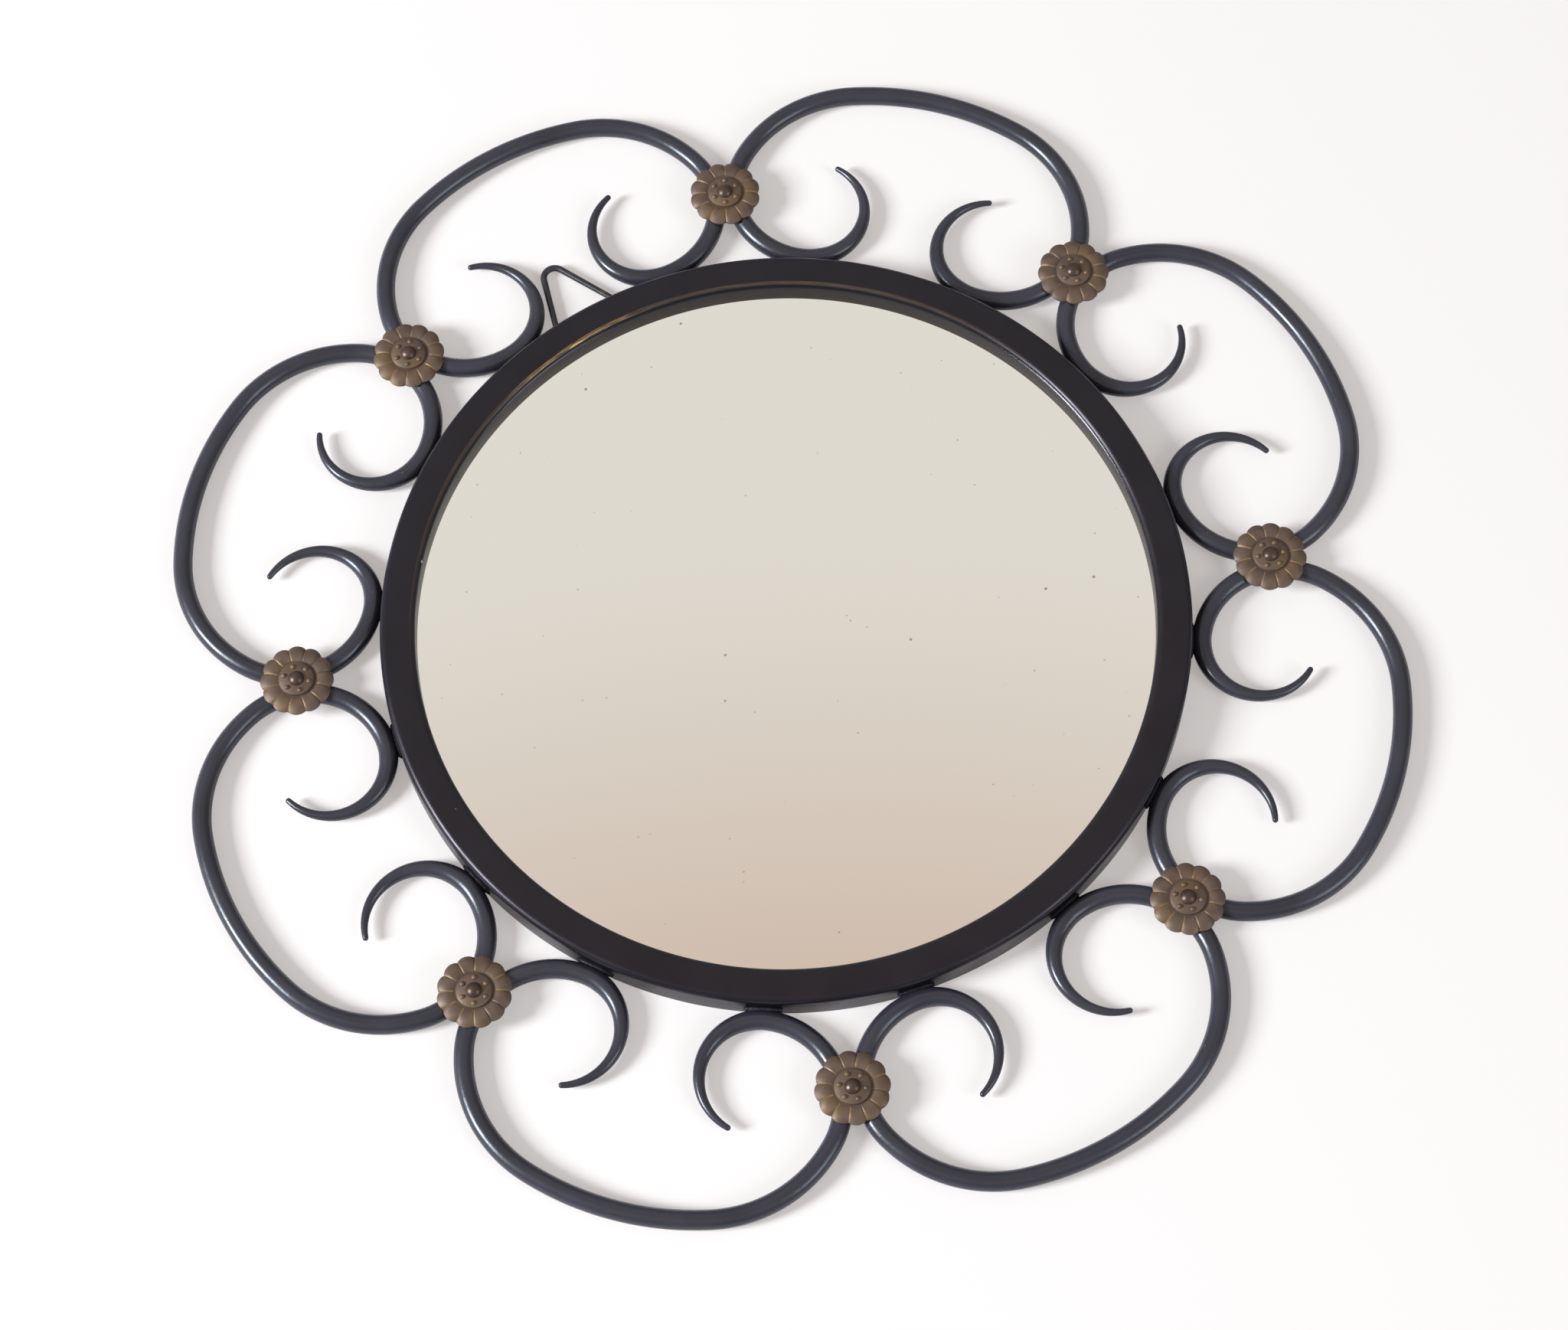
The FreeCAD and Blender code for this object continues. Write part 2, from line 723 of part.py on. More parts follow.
def hanger_pipe(body, kind, name, radius):
    """A pipe from the hanger's apex down one leg, past the outside of the ring."""
    path = new_sketch(body, f"{name}_path", "XY_Plane")
    past = 2 * S["hanger_wire"]
    slope = (half_base - touch_x) / touch_y
    corners = [
        (0, hanger_rise, S["hanger_bend_radius"], True),
        (touch_x, touch_y),
        (half_base + slope * past, 0 - past),
    ]
    add_outline(path, corners, closed=False)
    section = new_sketch(body, f"{name}_section", "YZ_Plane")
    add_circle(section, hanger_rise, 0, radius)
    pipe = add_feature(body, kind, name, section)
    pipe.Spine = path


def hanger_wall(body, name, *radii):
    """Cut the hanger back to the ring's outside, or to a band outside it where two radii are given."""
    lean = S["hanger_lean"]
    ring_x = 0 - foot_x * cosine(lean) - foot_y * sine(lean)
    ring_y = foot_x * sine(lean) - foot_y * cosine(lean)
    sketch = new_sketch(body, name, "XY_Plane")
    for radius in radii:
        add_circle(sketch, ring_x, ring_y, radius)
    pocket_through(body, name, sketch)


def make_hanger_loop():
    body = new_body("hanger_loop")
    hanger_pipe(body, "AdditivePipe", "wire", S["hanger_wire"] / 2)
    mirror_whole(body, "both_legs")
    hanger_wall(body, "wall", S["ring_radius"] + S["root_gap"])
    put(body, foot_x, foot_y, hanger_axis, S["hanger_lean"])
    return body


def make_hanger_welds():
    """A collar of weld round the end of each leg, against the ring's outside."""
    body = new_body("hanger_welds")
    hanger_pipe(body, "AdditivePipe", "collar", S["hanger_bead_diameter"] / 2)
    hanger_pipe(body, "SubtractivePipe", "wire", S["hanger_wire"] / 2 + S["bead_clearance"])
    mirror_whole(body, "both_collars")
    hanger_wall(body, "wall", S["ring_radius"] + S["bead_clearance"])
    bead_end = S["ring_radius"] + S["hanger_bead_length"]
    beyond = S["ring_radius"] + hanger_rise + S["hanger_bead_diameter"]
    hanger_wall(body, "beyond", bead_end, beyond)
    put(body, foot_x, foot_y, hanger_axis, S["hanger_lean"])
    return body


def make_on_petals(maker, name):
    """Build one piece on the petal on +Y, and clones of it on the other petals, clockwise."""
    pieces = []
    for index in range(petal_count.number):
        label = f"{name}_{index + 1}"
        piece = clone(pieces[0], label) if pieces else maker(label)
        pieces.append(piece)
        put(piece, z=rod_axis, angle=0 - petal_step * index)
    return pieces


def make_at_kisses(maker, name, height):
    """Build one piece where the first two scrolls touch, and clones of it at the other such points.

    Each rosette was fixed by hand, so each has its own turn.
    """
    pieces = []
    for index in range(petal_count.number):
        label = f"{name}_{index + 1}"
        piece = clone(pieces[0], label) if pieces else maker(label)
        pieces.append(piece)
        put(piece, *kiss_point(index), height, S.get(f"{label}_turn"))
    return pieces


def check(things):
    """Stop if an object failed to rebuild or a sub-part has no sound solid."""
    failed = [thing.Name for thing in doc.Objects if {"Invalid", "Error"} & set(thing.State)]
    for thing in things:
        shape = thing.Shape
        if shape.isNull() or not shape.isValid() or shape.Volume < NOTHING:
            failed.append(thing.Label)
    if failed:
        raise RuntimeError("not built: " + ", ".join(failed))


rosette_seat = derived("rosette_seat", rod_top + S["rosette_gap"])
rivet_seat = derived("rivet_seat", rosette_seat + S["rosette_middle_height"])

sub_parts = [
    make_frame_ring(),
    make_mirror_glass(),
    make_disc("backing_card", card_back, S["card_thickness"]),
    make_disc("back_board", board_back, S["board_thickness"]),
    make_retaining_tabs(),
    *make_on_petals(make_scroll, "scroll"),
    *make_on_petals(make_curl_welds, "curl_welds"),
    *make_at_kisses(make_rosette, "rosette", rosette_seat),
    *make_at_kisses(make_rivet, "rosette_rivet", rivet_seat),
    make_hanger_loop(),
    make_hanger_welds(),
]
doc.recompute()
check(sub_parts)

os.makedirs("parts", exist_ok=True)
for sub_part in sub_parts:
    sub_part.Shape.exportStep(f"parts/{sub_part.Label}.step")
    print(sub_part.Label, len(sub_part.Shape.Solids), round(sub_part.Shape.Volume, 1))
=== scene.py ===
"""Dresses the flower mirror: smooth metalwork, aged brass, silvered glass and a pale studio table."""

import math

import bmesh
import bpy
from bpy.props import FloatProperty, FloatVectorProperty, IntProperty, PointerProperty
from mathutils import Matrix, Vector


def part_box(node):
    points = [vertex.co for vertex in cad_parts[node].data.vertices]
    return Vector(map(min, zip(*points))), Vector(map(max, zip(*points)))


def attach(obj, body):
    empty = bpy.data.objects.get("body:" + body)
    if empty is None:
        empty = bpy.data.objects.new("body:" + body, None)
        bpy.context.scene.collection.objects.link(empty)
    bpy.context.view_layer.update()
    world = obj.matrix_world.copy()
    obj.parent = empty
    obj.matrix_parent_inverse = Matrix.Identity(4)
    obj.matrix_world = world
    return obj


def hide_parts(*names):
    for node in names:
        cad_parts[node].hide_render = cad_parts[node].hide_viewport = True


bl_info = {
    "name": "Flower Mirror",
    "version": (1, 0, 0),
    "blender": (4, 5, 0),
    "location": "View3D > Sidebar > Flower Mirror",
    "description": "Builds the ring, the scrolls, the rosettes and the glass of a flower mirror",
    "category": "Add Mesh",
}

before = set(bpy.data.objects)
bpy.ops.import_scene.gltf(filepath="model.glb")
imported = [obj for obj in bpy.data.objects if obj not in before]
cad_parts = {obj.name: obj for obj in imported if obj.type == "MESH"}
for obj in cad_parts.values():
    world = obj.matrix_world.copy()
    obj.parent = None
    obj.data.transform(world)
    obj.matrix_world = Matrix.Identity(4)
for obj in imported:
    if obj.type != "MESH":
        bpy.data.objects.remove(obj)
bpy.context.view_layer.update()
BODY = "root"

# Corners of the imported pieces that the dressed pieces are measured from.
RING_LOW, RING_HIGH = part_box("frame_ring")
GLASS_LOW, GLASS_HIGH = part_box("mirror_glass")
BAR_LOW, BAR_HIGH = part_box("scroll_1")
ROSETTE_LOW, ROSETTE_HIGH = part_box("rosette_1")
RIVET_LOW, RIVET_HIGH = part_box("rosette_rivet_1")
HANGER_LOW, HANGER_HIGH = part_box("hanger_loop")

# Points closer than this are one point.
WELD = 1e-6
UP = Vector((0, 0, 1))
# Steps round the ring and the glass, and round one lobe of a rosette.
ROUND_STEPS = 240
LOBE_STEPS = 20
# How far the dots on a rosette are rubbed bright.
STAMEN_RUB = 0.25
# Ripples along a weld bead, in radians to the metre, and their height as a share of the bead.
RIPPLE_RATE = 2600
RIPPLE_SHARE = 0.05
# How far the hanger's feet stand in the ring's wall.
FOOT_SUNK = 0.0002


def length(name, description, default):
    words = {"name": name, "description": description}
    return FloatProperty(default=default, min=0, precision=5, unit="LENGTH", **words)


def turn(name, description, degrees):
    return FloatProperty(name=name, description=description, default=math.radians(degrees), subtype="ANGLE")


def colour(name, description, default):
    words = {"name": name, "description": description}
    return FloatVectorProperty(default=default, min=0, max=1, subtype="COLOR", **words)


class ScrollSizes(bpy.types.PropertyGroup):
    """The bent bars. Turns run from the crown to the tip of the curl."""

    petals: IntProperty(name="Petals", description="Scrolls round the ring", default=8, min=3)
    bar_diameter: length("Bar diameter", "Thickness of the round bar", BAR_HIGH.z - BAR_LOW.z)
    crown_radius: length("Crown radius", "Bend of the bar at the top of the petal", 0.130)
    shoulder_radius: length("Shoulder radius", "Bend between the crown and the flank", 0.060)
    flank_radius: length("Flank radius", "Bend where two petals touch", 0.0365)
    curl_radius: length("Curl radius", "Bend of the curl that touches the ring", 0.025)
    shoulder_turn: turn("Shoulder turn", "Where the shoulder goes over to the flank", 77)
    flank_turn: turn("Flank turn", "Where the flank goes over to the curl", 187)
    taper_turn: turn("Taper turn", "Where the bar starts to grow thinner", 205)
    tip_turn: turn("Tip turn", "Where the curl ends", 344)
    tip_diameter: length("Tip diameter", "Thickness of the bar at its tip", 0.0026)
    petal_gap: length("Petal gap", "Hairline between two petals", 0.0003)


class RingSizes(bpy.types.PropertyGroup):
    """The pressed channel round the glass."""

    width: length("Width", "From the outside to the mouth", 0.0154)
    sheet: length("Sheet", "Thickness of the sheet", 0.0015)
    edge_radius: length("Edge radius", "Rounding of the two front edges", 0.003)
    ground_edge: length("Ground edge", "Width of the bevel on the glass", 0.0004)
    rub_in: length("Rub in", "From the mouth to the middle of the rubbed line", 0.0016)
    rub_half: length("Rub half", "Half the width of the rubbed line", 0.0009)


class RosetteSizes(bpy.types.PropertyGroup):
    """The stamped rosettes and their rivets."""

    petals: IntProperty(name="Petals", description="Lobes round a rosette", default=12, min=3)
    diameter: length("Diameter", "Across the lobes", 0.0320)
    lobe_radius: length("Lobe radius", "Rounding of a lobe's end", 0.0055)
    sheet: length("Sheet", "Thickness of the sheet", 0.001)
    rim: length("Rim", "Height of the rim", 0.0010)
    crest: length("Crest", "Height of the lobes", 0.0025)
    middle_radius: length("Middle radius", "Radius of the raised middle", 0.0077)
    middle_height: length("Middle height", "Height of the raised middle", 0.0032)
    channel_width: length("Channel width", "Groove round the middle", 0.0009)
    channel_height: length("Channel height", "Height of the groove's floor", 0.0021)
    vein_width: length("Vein width", "Crease between two lobes", 0.0005)
    vein_depth: length("Vein depth", "Depth of the crease", 0.0003)
    lobe_fall: length("Lobe fall", "How much lower a lobe is at its sides", 0.0003)
    stamens: IntProperty(name="Stamens", description="Dots round the rivet", default=6, min=1)
    stamen_circle: length("Stamen circle", "Radius of the circle of dots", 0.0057)
    stamen_radius: length("Stamen radius", "Radius of a dot", 0.0011)
    rivet_head_height: length("Rivet head height", "Height of the rivet's dome", 0.0022)
    rivet_shank: length("Rivet shank", "Diameter of the rivet's shank", 0.003)
    rivet_tail: length("Rivet tail", "Diameter of the set end", 0.005)
    rivet_tail_height: length("Rivet tail height", "Depth of the set end", 0.0013)


class HangerSizes(bpy.types.PropertyGroup):
    """The V of wire behind the ring and the weld beads."""

    wire: length("Wire", "Thickness of the wire", HANGER_HIGH.z - HANGER_LOW.z)
    base: length("Base", "Between the legs on the ring", 0.0300)
    rise: length("Rise", "From the ring to the middle of the bend", 0.03099)
    bend_radius: length("Bend radius", "Bend at the top", 0.005)
    lean: turn("Lean", "How far the V leans over", 7)
    shift: length("Shift", "How far the V is off the petal's middle", 0.0018)
    bead_length: length("Bead length", "Length of a weld bead at a curl", 0.017)
    bead_width: length("Bead width", "Width of a weld bead across the joint", 0.0036)
    bead_height: length("Bead height", "Height of a weld bead", 0.0050)


class FinishColours(bpy.types.PropertyGroup):
    """Colours of the finishes."""

    bar: colour("Bar", "Satin paint of the scrolls", (0.029, 0.0268, 0.0375))
    ring: colour("Ring", "Satin paint of the ring", (0.0070, 0.0063, 0.0090))
    worn: colour("Worn", "Rubbed inner edge of the ring", (0.060, 0.040, 0.026))
    glint: colour("Glint", "Bare brass on the ring's inner edge", (0.42, 0.27, 0.10))
    brass: colour("Brass", "Aged brass", (0.122, 0.079, 0.057))
    warm_brass: colour("Warm brass", "Rubbed patches of the brass", (0.150, 0.093, 0.048))
    dark_brass: colour("Dark brass", "Dirt in the hollows of the brass", (0.062, 0.040, 0.030))
    # Brighter brass: a painted highlight along the creases, and wear on the rubbed dots.
    highlight_and_rubbed_brass: colour("Bright brass", "Brass along the veins", (0.330, 0.210, 0.085))
    silver: colour("Silver", "Silvering of the glass", (0.92, 0.92, 0.91))
    speck: colour("Speck", "Specks on the glass", (0.20, 0.15, 0.11))
    board: colour("Board", "Hardboard", (0.190, 0.105, 0.055))
    card: colour("Card", "Grey card", (0.33, 0.31, 0.28))
    plate: colour("Plate", "Plated tabs", (0.52, 0.52, 0.50))
    table: colour("Table", "Pale table", (0.92, 0.875, 0.86))


SETTINGS = (
    ("mirror_scrolls", ScrollSizes),
    ("mirror_ring", RingSizes),
    ("mirror_rosettes", RosetteSizes),
    ("mirror_hanger", HangerSizes),
    ("mirror_colours", FinishColours),
)


# Shader building

def add_node(tree, kind, inputs=None, **settings):
    """Add a shader node. An input is a value or another node's output."""
    node = tree.nodes.new(kind)
    for key, value in settings.items():
        setattr(node, key, value)
    for key, value in (inputs or {}).items():
        if isinstance(value, bpy.types.NodeSocket):
            tree.links.new(value, node.inputs[key])
        else:
            node.inputs[key].default_value = value
    return node


def new_finish(name):
    """A material, its tree, its shader and the place on the object that its patterns read."""
    finish = bpy.data.materials.new(name)
    finish.use_nodes = True
    tree = finish.node_tree
    place = add_node(tree, "ShaderNodeTexCoord").outputs["Object"]
    return finish, tree, tree.nodes["Principled BSDF"], place


def grain(tree, place, scale, detail=3.0, roughness=0.5):
    values = {"Vector": place, "Scale": scale, "Detail": detail, "Roughness": roughness}
    return add_node(tree, "ShaderNodeTexNoise", values).outputs["Fac"]


def between(tree, value, low, high, to_low=0.0, to_high=1.0):
    """Map a value from one range to another, held at the ends."""
    values = {"Value": value, "From Min": low, "From Max": high, "To Min": to_low, "To Max": to_high}
    return add_node(tree, "ShaderNodeMapRange", values).outputs["Result"]


def times(tree, first, second):
    return add_node(tree, "ShaderNodeMath", {0: first, 1: second}, operation="MULTIPLY").outputs["Value"]


def larger(tree, first, second):
    return add_node(tree, "ShaderNodeMath", {0: first, 1: second}, operation="MAXIMUM").outputs["Value"]


def mixed(tree, share, first, second):
    """Mix two colours. A colour is three numbers or another node's output."""
    values = {"Factor": share}
    for key, value in (("A", first), ("B", second)):
        values[key] = value if isinstance(value, bpy.types.NodeSocket) else (*value, 1.0)
    node = add_node(tree, "ShaderNodeMix", data_type="RGBA")
    ports = {"Factor": node.inputs[0], "A": node.inputs[6], "B": node.inputs[7]}
    for key, value in values.items():
        if isinstance(value, bpy.types.NodeSocket):
            tree.links.new(value, ports[key])
        else:
            ports[key].default_value = value
    return node.outputs[2]


def paint(tree, shader, colour_output=None, roughness=None, height=None, depth=0.0, strength=1.0):
    """Join a colour, a roughness and a relief to the shader."""
    if colour_output:
        tree.links.new(colour_output, shader.inputs["Base Color"])
    if roughness:
        tree.links.new(roughness, shader.inputs["Roughness"])
    if height:
        values = {"Height": height, "Distance": depth, "Strength": strength}
        relief = add_node(tree, "ShaderNodeBump", values)
        tree.links.new(relief.outputs["Normal"], shader.inputs["Normal"])


def drawn(tree, place, factors):
    """The place, scaled along each axis."""
    return add_node(tree, "ShaderNodeMapping", {"Vector": place, "Scale": factors}).outputs["Vector"]


def specks(tree, place, scale, size, share):
    """Small round specks: in a share of the cells, a dot of a size given as a part of the cell."""
    cells = add_node(tree, "ShaderNodeTexVoronoi", {"Vector": place, "Scale": scale})
    picked = add_node(tree, "ShaderNodeSeparateColor", {"Color": cells.outputs["Color"]}).outputs["Red"]
    dot = between(tree, cells.outputs["Distance"], size, size * 0.6)
    return times(tree, dot, between(tree, picked, share + 0.01, share))


# Finishes

def lighter(tint, factor):
    return tuple(min(channel * factor, 1.0) for channel in tint)


def bar_paint(colours):
    """Satin black paint on bar, with soft waves from the forge, dull patches and a few pale flecks."""
    finish, tree, shader, place = new_finish("bar_paint")
    patches = between(tree, grain(tree, place, 35.0), 0.35, 0.65)
    base = mixed(tree, patches, lighter(colours.bar, 0.85), lighter(colours.bar, 1.2))
    flecks = specks(tree, place, 260.0, 0.16, 0.02)
    base = mixed(tree, times(tree, flecks, 0.5), base, lighter(colours.bar, 4.0))
    shader.inputs["Specular Tint"].default_value = (0.88, 0.94, 1.0, 1.0)
    rough = between(tree, grain(tree, place, 90.0), 0.3, 0.7, 0.23, 0.31)
    paint(tree, shader, base, rough, grain(tree, place, 240.0, 2.0), 0.00015, 0.5)
    return finish


def ring_paint(colours, sizes):
    """Satin black paint, rubbed to a thin brown line along the far part of the rounded edge at the mouth,
    with painted shade darkening the inner wall above the glass towards black.
    """
    finish, tree, shader, place = new_finish("ring_paint")
    patches = between(tree, grain(tree, place, 30.0), 0.35, 0.65)
    base = mixed(tree, patches, lighter(colours.ring, 0.8), lighter(colours.ring, 1.25))
    spot = add_node(tree, "ShaderNodeSeparateXYZ", {"Vector": place}).outputs
    flat = add_node(tree, "ShaderNodeVectorMath", {0: place, 1: (1, 1, 0)}, operation="MULTIPLY").outputs[0]
    reach = add_node(tree, "ShaderNodeVectorMath", {0: flat}, operation="LENGTH").outputs["Value"]
    heading = {0: spot["Y"], 1: spot["X"]}
    round_it = add_node(tree, "ShaderNodeMath", heading, operation="ARCTAN2").outputs["Value"]
    mouth, front = RING_HIGH.x - sizes.width, RING_HIGH.z
    crest, half = mouth + sizes.rub_in, sizes.rub_half
    outside = between(tree, reach, crest + half, crest + half / 2)
    inside = between(tree, reach, crest - half, crest - half / 2)
    shallow, deep = 0.0014, 0.0020
    in_front = between(tree, spot["Z"], front - deep, front - shallow)
    line = times(tree, times(tree, outside, inside), in_front)
    far = between(tree, spot["Y"], mouth * 0.30, mouth * 0.80, 0.10, 1.0)
    drawn_out = {"X": times(tree, reach, 2500.0), "Y": times(tree, round_it, 16.0)}
    streaks = grain(tree, add_node(tree, "ShaderNodeCombineXYZ", drawn_out).outputs["Vector"], 1.0, 4.0)
    rubbed = times(tree, times(tree, line, far), between(tree, streaks, 0.30, 0.55, 0.35, 1.0))
    base = mixed(tree, rubbed, base, tuple(colours.worn))
    # The part of the line that shows bare brass, as turns from +X in radians.
    bare_from, bare_to, fade = 1.42, 1.92, 0.18
    started = between(tree, round_it, bare_from, bare_from + fade)
    shiny = times(tree, started, between(tree, round_it, bare_to, bare_to - fade))
    bare = times(tree, times(tree, rubbed, shiny), between(tree, streaks, 0.44, 0.56))
    base = mixed(tree, bare, base, tuple(colours.glint))
    tree.links.new(times(tree, bare, 0.8), shader.inputs["Metallic"])
    # Painted shade: the inner wall at the mouth, above the glass, is taken three quarters of the way to
    # black.
    painted_shade_near, painted_shade_far = mouth + 0.0002, mouth + 0.0008
    wall = between(tree, reach, painted_shade_far, painted_shade_near)
    base = mixed(tree, times(tree, wall, 0.75), base, (0.0, 0.0, 0.0))
    chips = specks(tree, place, 120.0, 0.10, 0.012)
    base = mixed(tree, chips, base, lighter(colours.ring, 60.0))
    shader.inputs["Specular IOR Level"].default_value = 0.36
    shader.inputs["Specular Tint"].default_value = (0.96, 0.89, 1.0, 1.0)
    rough = between(tree, grain(tree, place, 80.0), 0.3, 0.7, 0.28, 0.37)
    paint(tree, shader, base, rough, grain(tree, place, 300.0, 2.0), 0.0001, 0.35)
    return finish


def shaded_weld_paint(colours):
    """The bar's paint over rough weld metal, darkened to between a third and three quarters of the bar's
    colour as painted shade at the joints.
    """
    finish, tree, shader, place = new_finish("shaded_weld_paint")
    patches = between(tree, grain(tree, place, 300.0), 0.35, 0.65)
    # Painted shade: the beads are painted darker than the bars they join.
    base = mixed(tree, patches, lighter(colours.bar, 0.35), lighter(colours.bar, 0.75))
    shader.inputs["Specular IOR Level"].default_value = 0.2
    rough = between(tree, grain(tree, place, 400.0), 0.3, 0.7, 0.42, 0.6)
    paint(tree, shader, base, rough, grain(tree, place, 900.0, 4.0), 0.0004, 0.8)
    return finish


def wire_paint(colours):
    """Thin paint on wire, brown where it has rubbed through."""
    finish, tree, shader, place = new_finish("wire_paint")
    rubbed = between(tree, grain(tree, place, 220.0, 5.0), 0.56, 0.66)
    base = mixed(tree, rubbed, lighter(colours.bar, 0.7), tuple(colours.worn))
    rough = between(tree, grain(tree, place, 150.0), 0.3, 0.7, 0.32, 0.5)
    paint(tree, shader, base, rough, grain(tree, place, 900.0, 2.0), 0.00006, 0.6)
    return finish


def aged_brass(colours):
    """Brown brass. The veins attribute marks the creases, brightened as a painted highlight, and the dots,
    rubbed bright; the dirt attribute the hollows.
    """
    finish, tree, shader, place = new_finish("aged_brass")
    patches = between(tree, grain(tree, place, 160.0, 4.0), 0.3, 0.7)
    base = mixed(tree, patches, lighter(colours.brass, 0.8), lighter(colours.brass, 1.2))
    rubbed = between(tree, grain(tree, place, 70.0, 3.0), 0.50, 0.66)
    base = mixed(tree, times(tree, rubbed, 0.8), base, tuple(colours.warm_brass))
    dirt = add_node(tree, "ShaderNodeAttribute", attribute_name="dirt").outputs["Fac"]
    base = mixed(tree, times(tree, dirt, 0.40), base, tuple(colours.dark_brass))
    # Painted highlight: brighter brass along the creases, broken by noise; on the dots it stands for wear.
    veins = add_node(tree, "ShaderNodeAttribute", attribute_name="veins").outputs["Fac"]
    broken = between(tree, grain(tree, place, 110.0, 2.0), 0.36, 0.52)
    base = mixed(tree, times(tree, veins, broken), base, tuple(colours.highlight_and_rubbed_brass))
    rough = between(tree, grain(tree, place, 220.0), 0.3, 0.7, 0.46, 0.62)
    shader.inputs["Metallic"].default_value = 0.35
    paint(tree, shader, base, rough, grain(tree, place, 1100.0, 3.0), 0.00012, 0.5)
    return finish


def rivet_brass(colours):
    """The rivets are a little darker and smoother than the sheet."""
    finish, tree, shader, place = new_finish("rivet_brass")
    patches = between(tree, grain(tree, place, 240.0, 4.0), 0.3, 0.7)
    base = mixed(tree, patches, tuple(colours.dark_brass), lighter(colours.brass, 0.75))
    rough = between(tree, grain(tree, place, 300.0), 0.3, 0.7, 0.30, 0.45)
    shader.inputs["Metallic"].default_value = 0.55
    paint(tree, shader, base, rough, grain(tree, place, 1200.0, 3.0), 0.0001, 0.5)
    return finish


def silvered_glass(colours):
    """A mirror with fine brown specks and a faint film of dust."""
    finish, tree, shader, place = new_finish("silvered_glass")
    small = specks(tree, place, 95.0, 0.075, 0.07)
    fine = specks(tree, place, 210.0, 0.10, 0.10)
    spots = larger(tree, times(tree, small, 0.7), times(tree, fine, 0.45))
    base = mixed(tree, spots, tuple(colours.silver), tuple(colours.speck))
    film = between(tree, grain(tree, place, 14.0, 5.0), 0.35, 0.7, 0.015, 0.045)
    rough = larger(tree, film, times(tree, spots, 0.5))
    shader.inputs["Metallic"].default_value = 1.0
    paint(tree, shader, base, rough)
    return finish


def hardboard(colours):
    """Pressed fibre: short dark and pale threads on brown."""
    finish, tree, shader, place = new_finish("hardboard")
    stretched = drawn(tree, place, (1.0, 2.4, 1.0))
    threads = between(tree, grain(tree, stretched, 420.0, 6.0, 0.7), 0.35, 0.65)
    clouds = between(tree, grain(tree, place, 18.0, 3.0), 0.3, 0.7)
    base = mixed(tree, threads, lighter(colours.board, 0.7), lighter(colours.board, 1.25))
    base = mixed(tree, times(tree, clouds, 0.35), base, lighter(colours.board, 1.5))
    rough = between(tree, threads, 0.0, 1.0, 0.62, 0.78)
    paint(tree, shader, base, rough, threads, 0.00015, 0.6)
    return finish


def grey_card(colours):
    finish, tree, shader, place = new_finish("grey_card")
    fibres = between(tree, grain(tree, place, 600.0, 5.0), 0.35, 0.65)
    base = mixed(tree, fibres, lighter(colours.card, 0.85), lighter(colours.card, 1.1))
    rough = between(tree, fibres, 0.0, 1.0, 0.8, 0.92)
    paint(tree, shader, base, rough, fibres, 0.0001, 0.4)
    return finish


def plated_sheet(colours):
    """Plated steel with brush lines and dull bloom."""
    finish, tree, shader, place = new_finish("plated_sheet")
    bloom = between(tree, grain(tree, place, 90.0, 4.0), 0.35, 0.65)
    base = mixed(tree, bloom, lighter(colours.plate, 0.75), lighter(colours.plate, 1.1))
    brushed = drawn(tree, place, (1.0, 14.0, 1.0))
    rough = between(tree, grain(tree, brushed, 180.0, 2.0), 0.3, 0.7, 0.28, 0.46)
    shader.inputs["Metallic"].default_value = 1.0
    paint(tree, shader, base, rough, grain(tree, brushed, 300.0, 2.0), 0.00004, 0.5)
    return finish


# Mesh building

def add_piece(bm, name, node, finish, sharp_degrees=40):
    """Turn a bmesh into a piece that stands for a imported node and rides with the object."""
    bmesh.ops.remove_doubles(bm, verts=bm.verts, dist=WELD)
    bmesh.ops.recalc_face_normals(bm, faces=bm.faces)
    mesh = bpy.data.meshes.new(name)
    bm.to_mesh(mesh)
    bm.free()
    mesh.shade_smooth()
    mesh.set_sharp_from_angle(angle=math.radians(sharp_degrees))
    mesh.materials.append(finish)
    piece = bpy.data.objects.new(name, mesh)
    bpy.context.scene.collection.objects.link(piece)
    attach(piece, BODY)
    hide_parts(node)
    return piece


def dress_node(node, finish):
    """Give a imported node, whose shape is right, a better material."""
    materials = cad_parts[node].data.materials
    materials.clear()
    materials.append(finish)


def towards(angle):
    """The direction at a turn, clockwise from +Y."""
    return Vector((math.sin(angle), math.cos(angle), 0))


def start_circle(bm, place, radius, segments=24):
    """A circle of bar section that stands across the X direction."""
    stand = Matrix.Translation(place) @ Matrix.Rotation(math.pi / 2, 4, "Y")
    made = bmesh.ops.create_circle(bm, cap_ends=False, radius=radius, segments=segments, matrix=stand)
    return made["verts"] + list({edge for vert in made["verts"] for edge in vert.link_edges})


def only_verts(geometry):
    return [item for item in geometry if isinstance(item, bmesh.types.BMVert)]


def only_edges(geometry):
    return [item for item in geometry if isinstance(item, bmesh.types.BMEdge)]


def middle_of(geometry):
    verts = only_verts(geometry)
    return sum((vert.co for vert in verts), Vector()) / len(verts)


def bend(bm, section, centre, angle, steps):
    """Carry a section clockwise round a centre and return the section at the end."""
    made = bmesh.ops.spin(bm, geom=section, cent=centre, axis=UP, angle=-angle, steps=steps, use_merge=False)
    return made["geom_last"]


def resize(bm, section, factor):
    about = Matrix.Translation(-middle_of(section))
    bmesh.ops.scale(bm, vec=(factor, factor, factor), space=about, verts=only_verts(section))


def run_on(bm, section, step):
    """Carry a section straight on and return the section at the end."""
    made = bmesh.ops.extrude_edge_only(bm, edges=only_edges(section))
    moved = only_verts(made["geom"])
    bmesh.ops.translate(bm, vec=step, verts=moved)
    kept = set(moved)
    ends = [edge for edge in only_edges(made["geom"]) if set(edge.verts) <= kept]
    return moved + ends


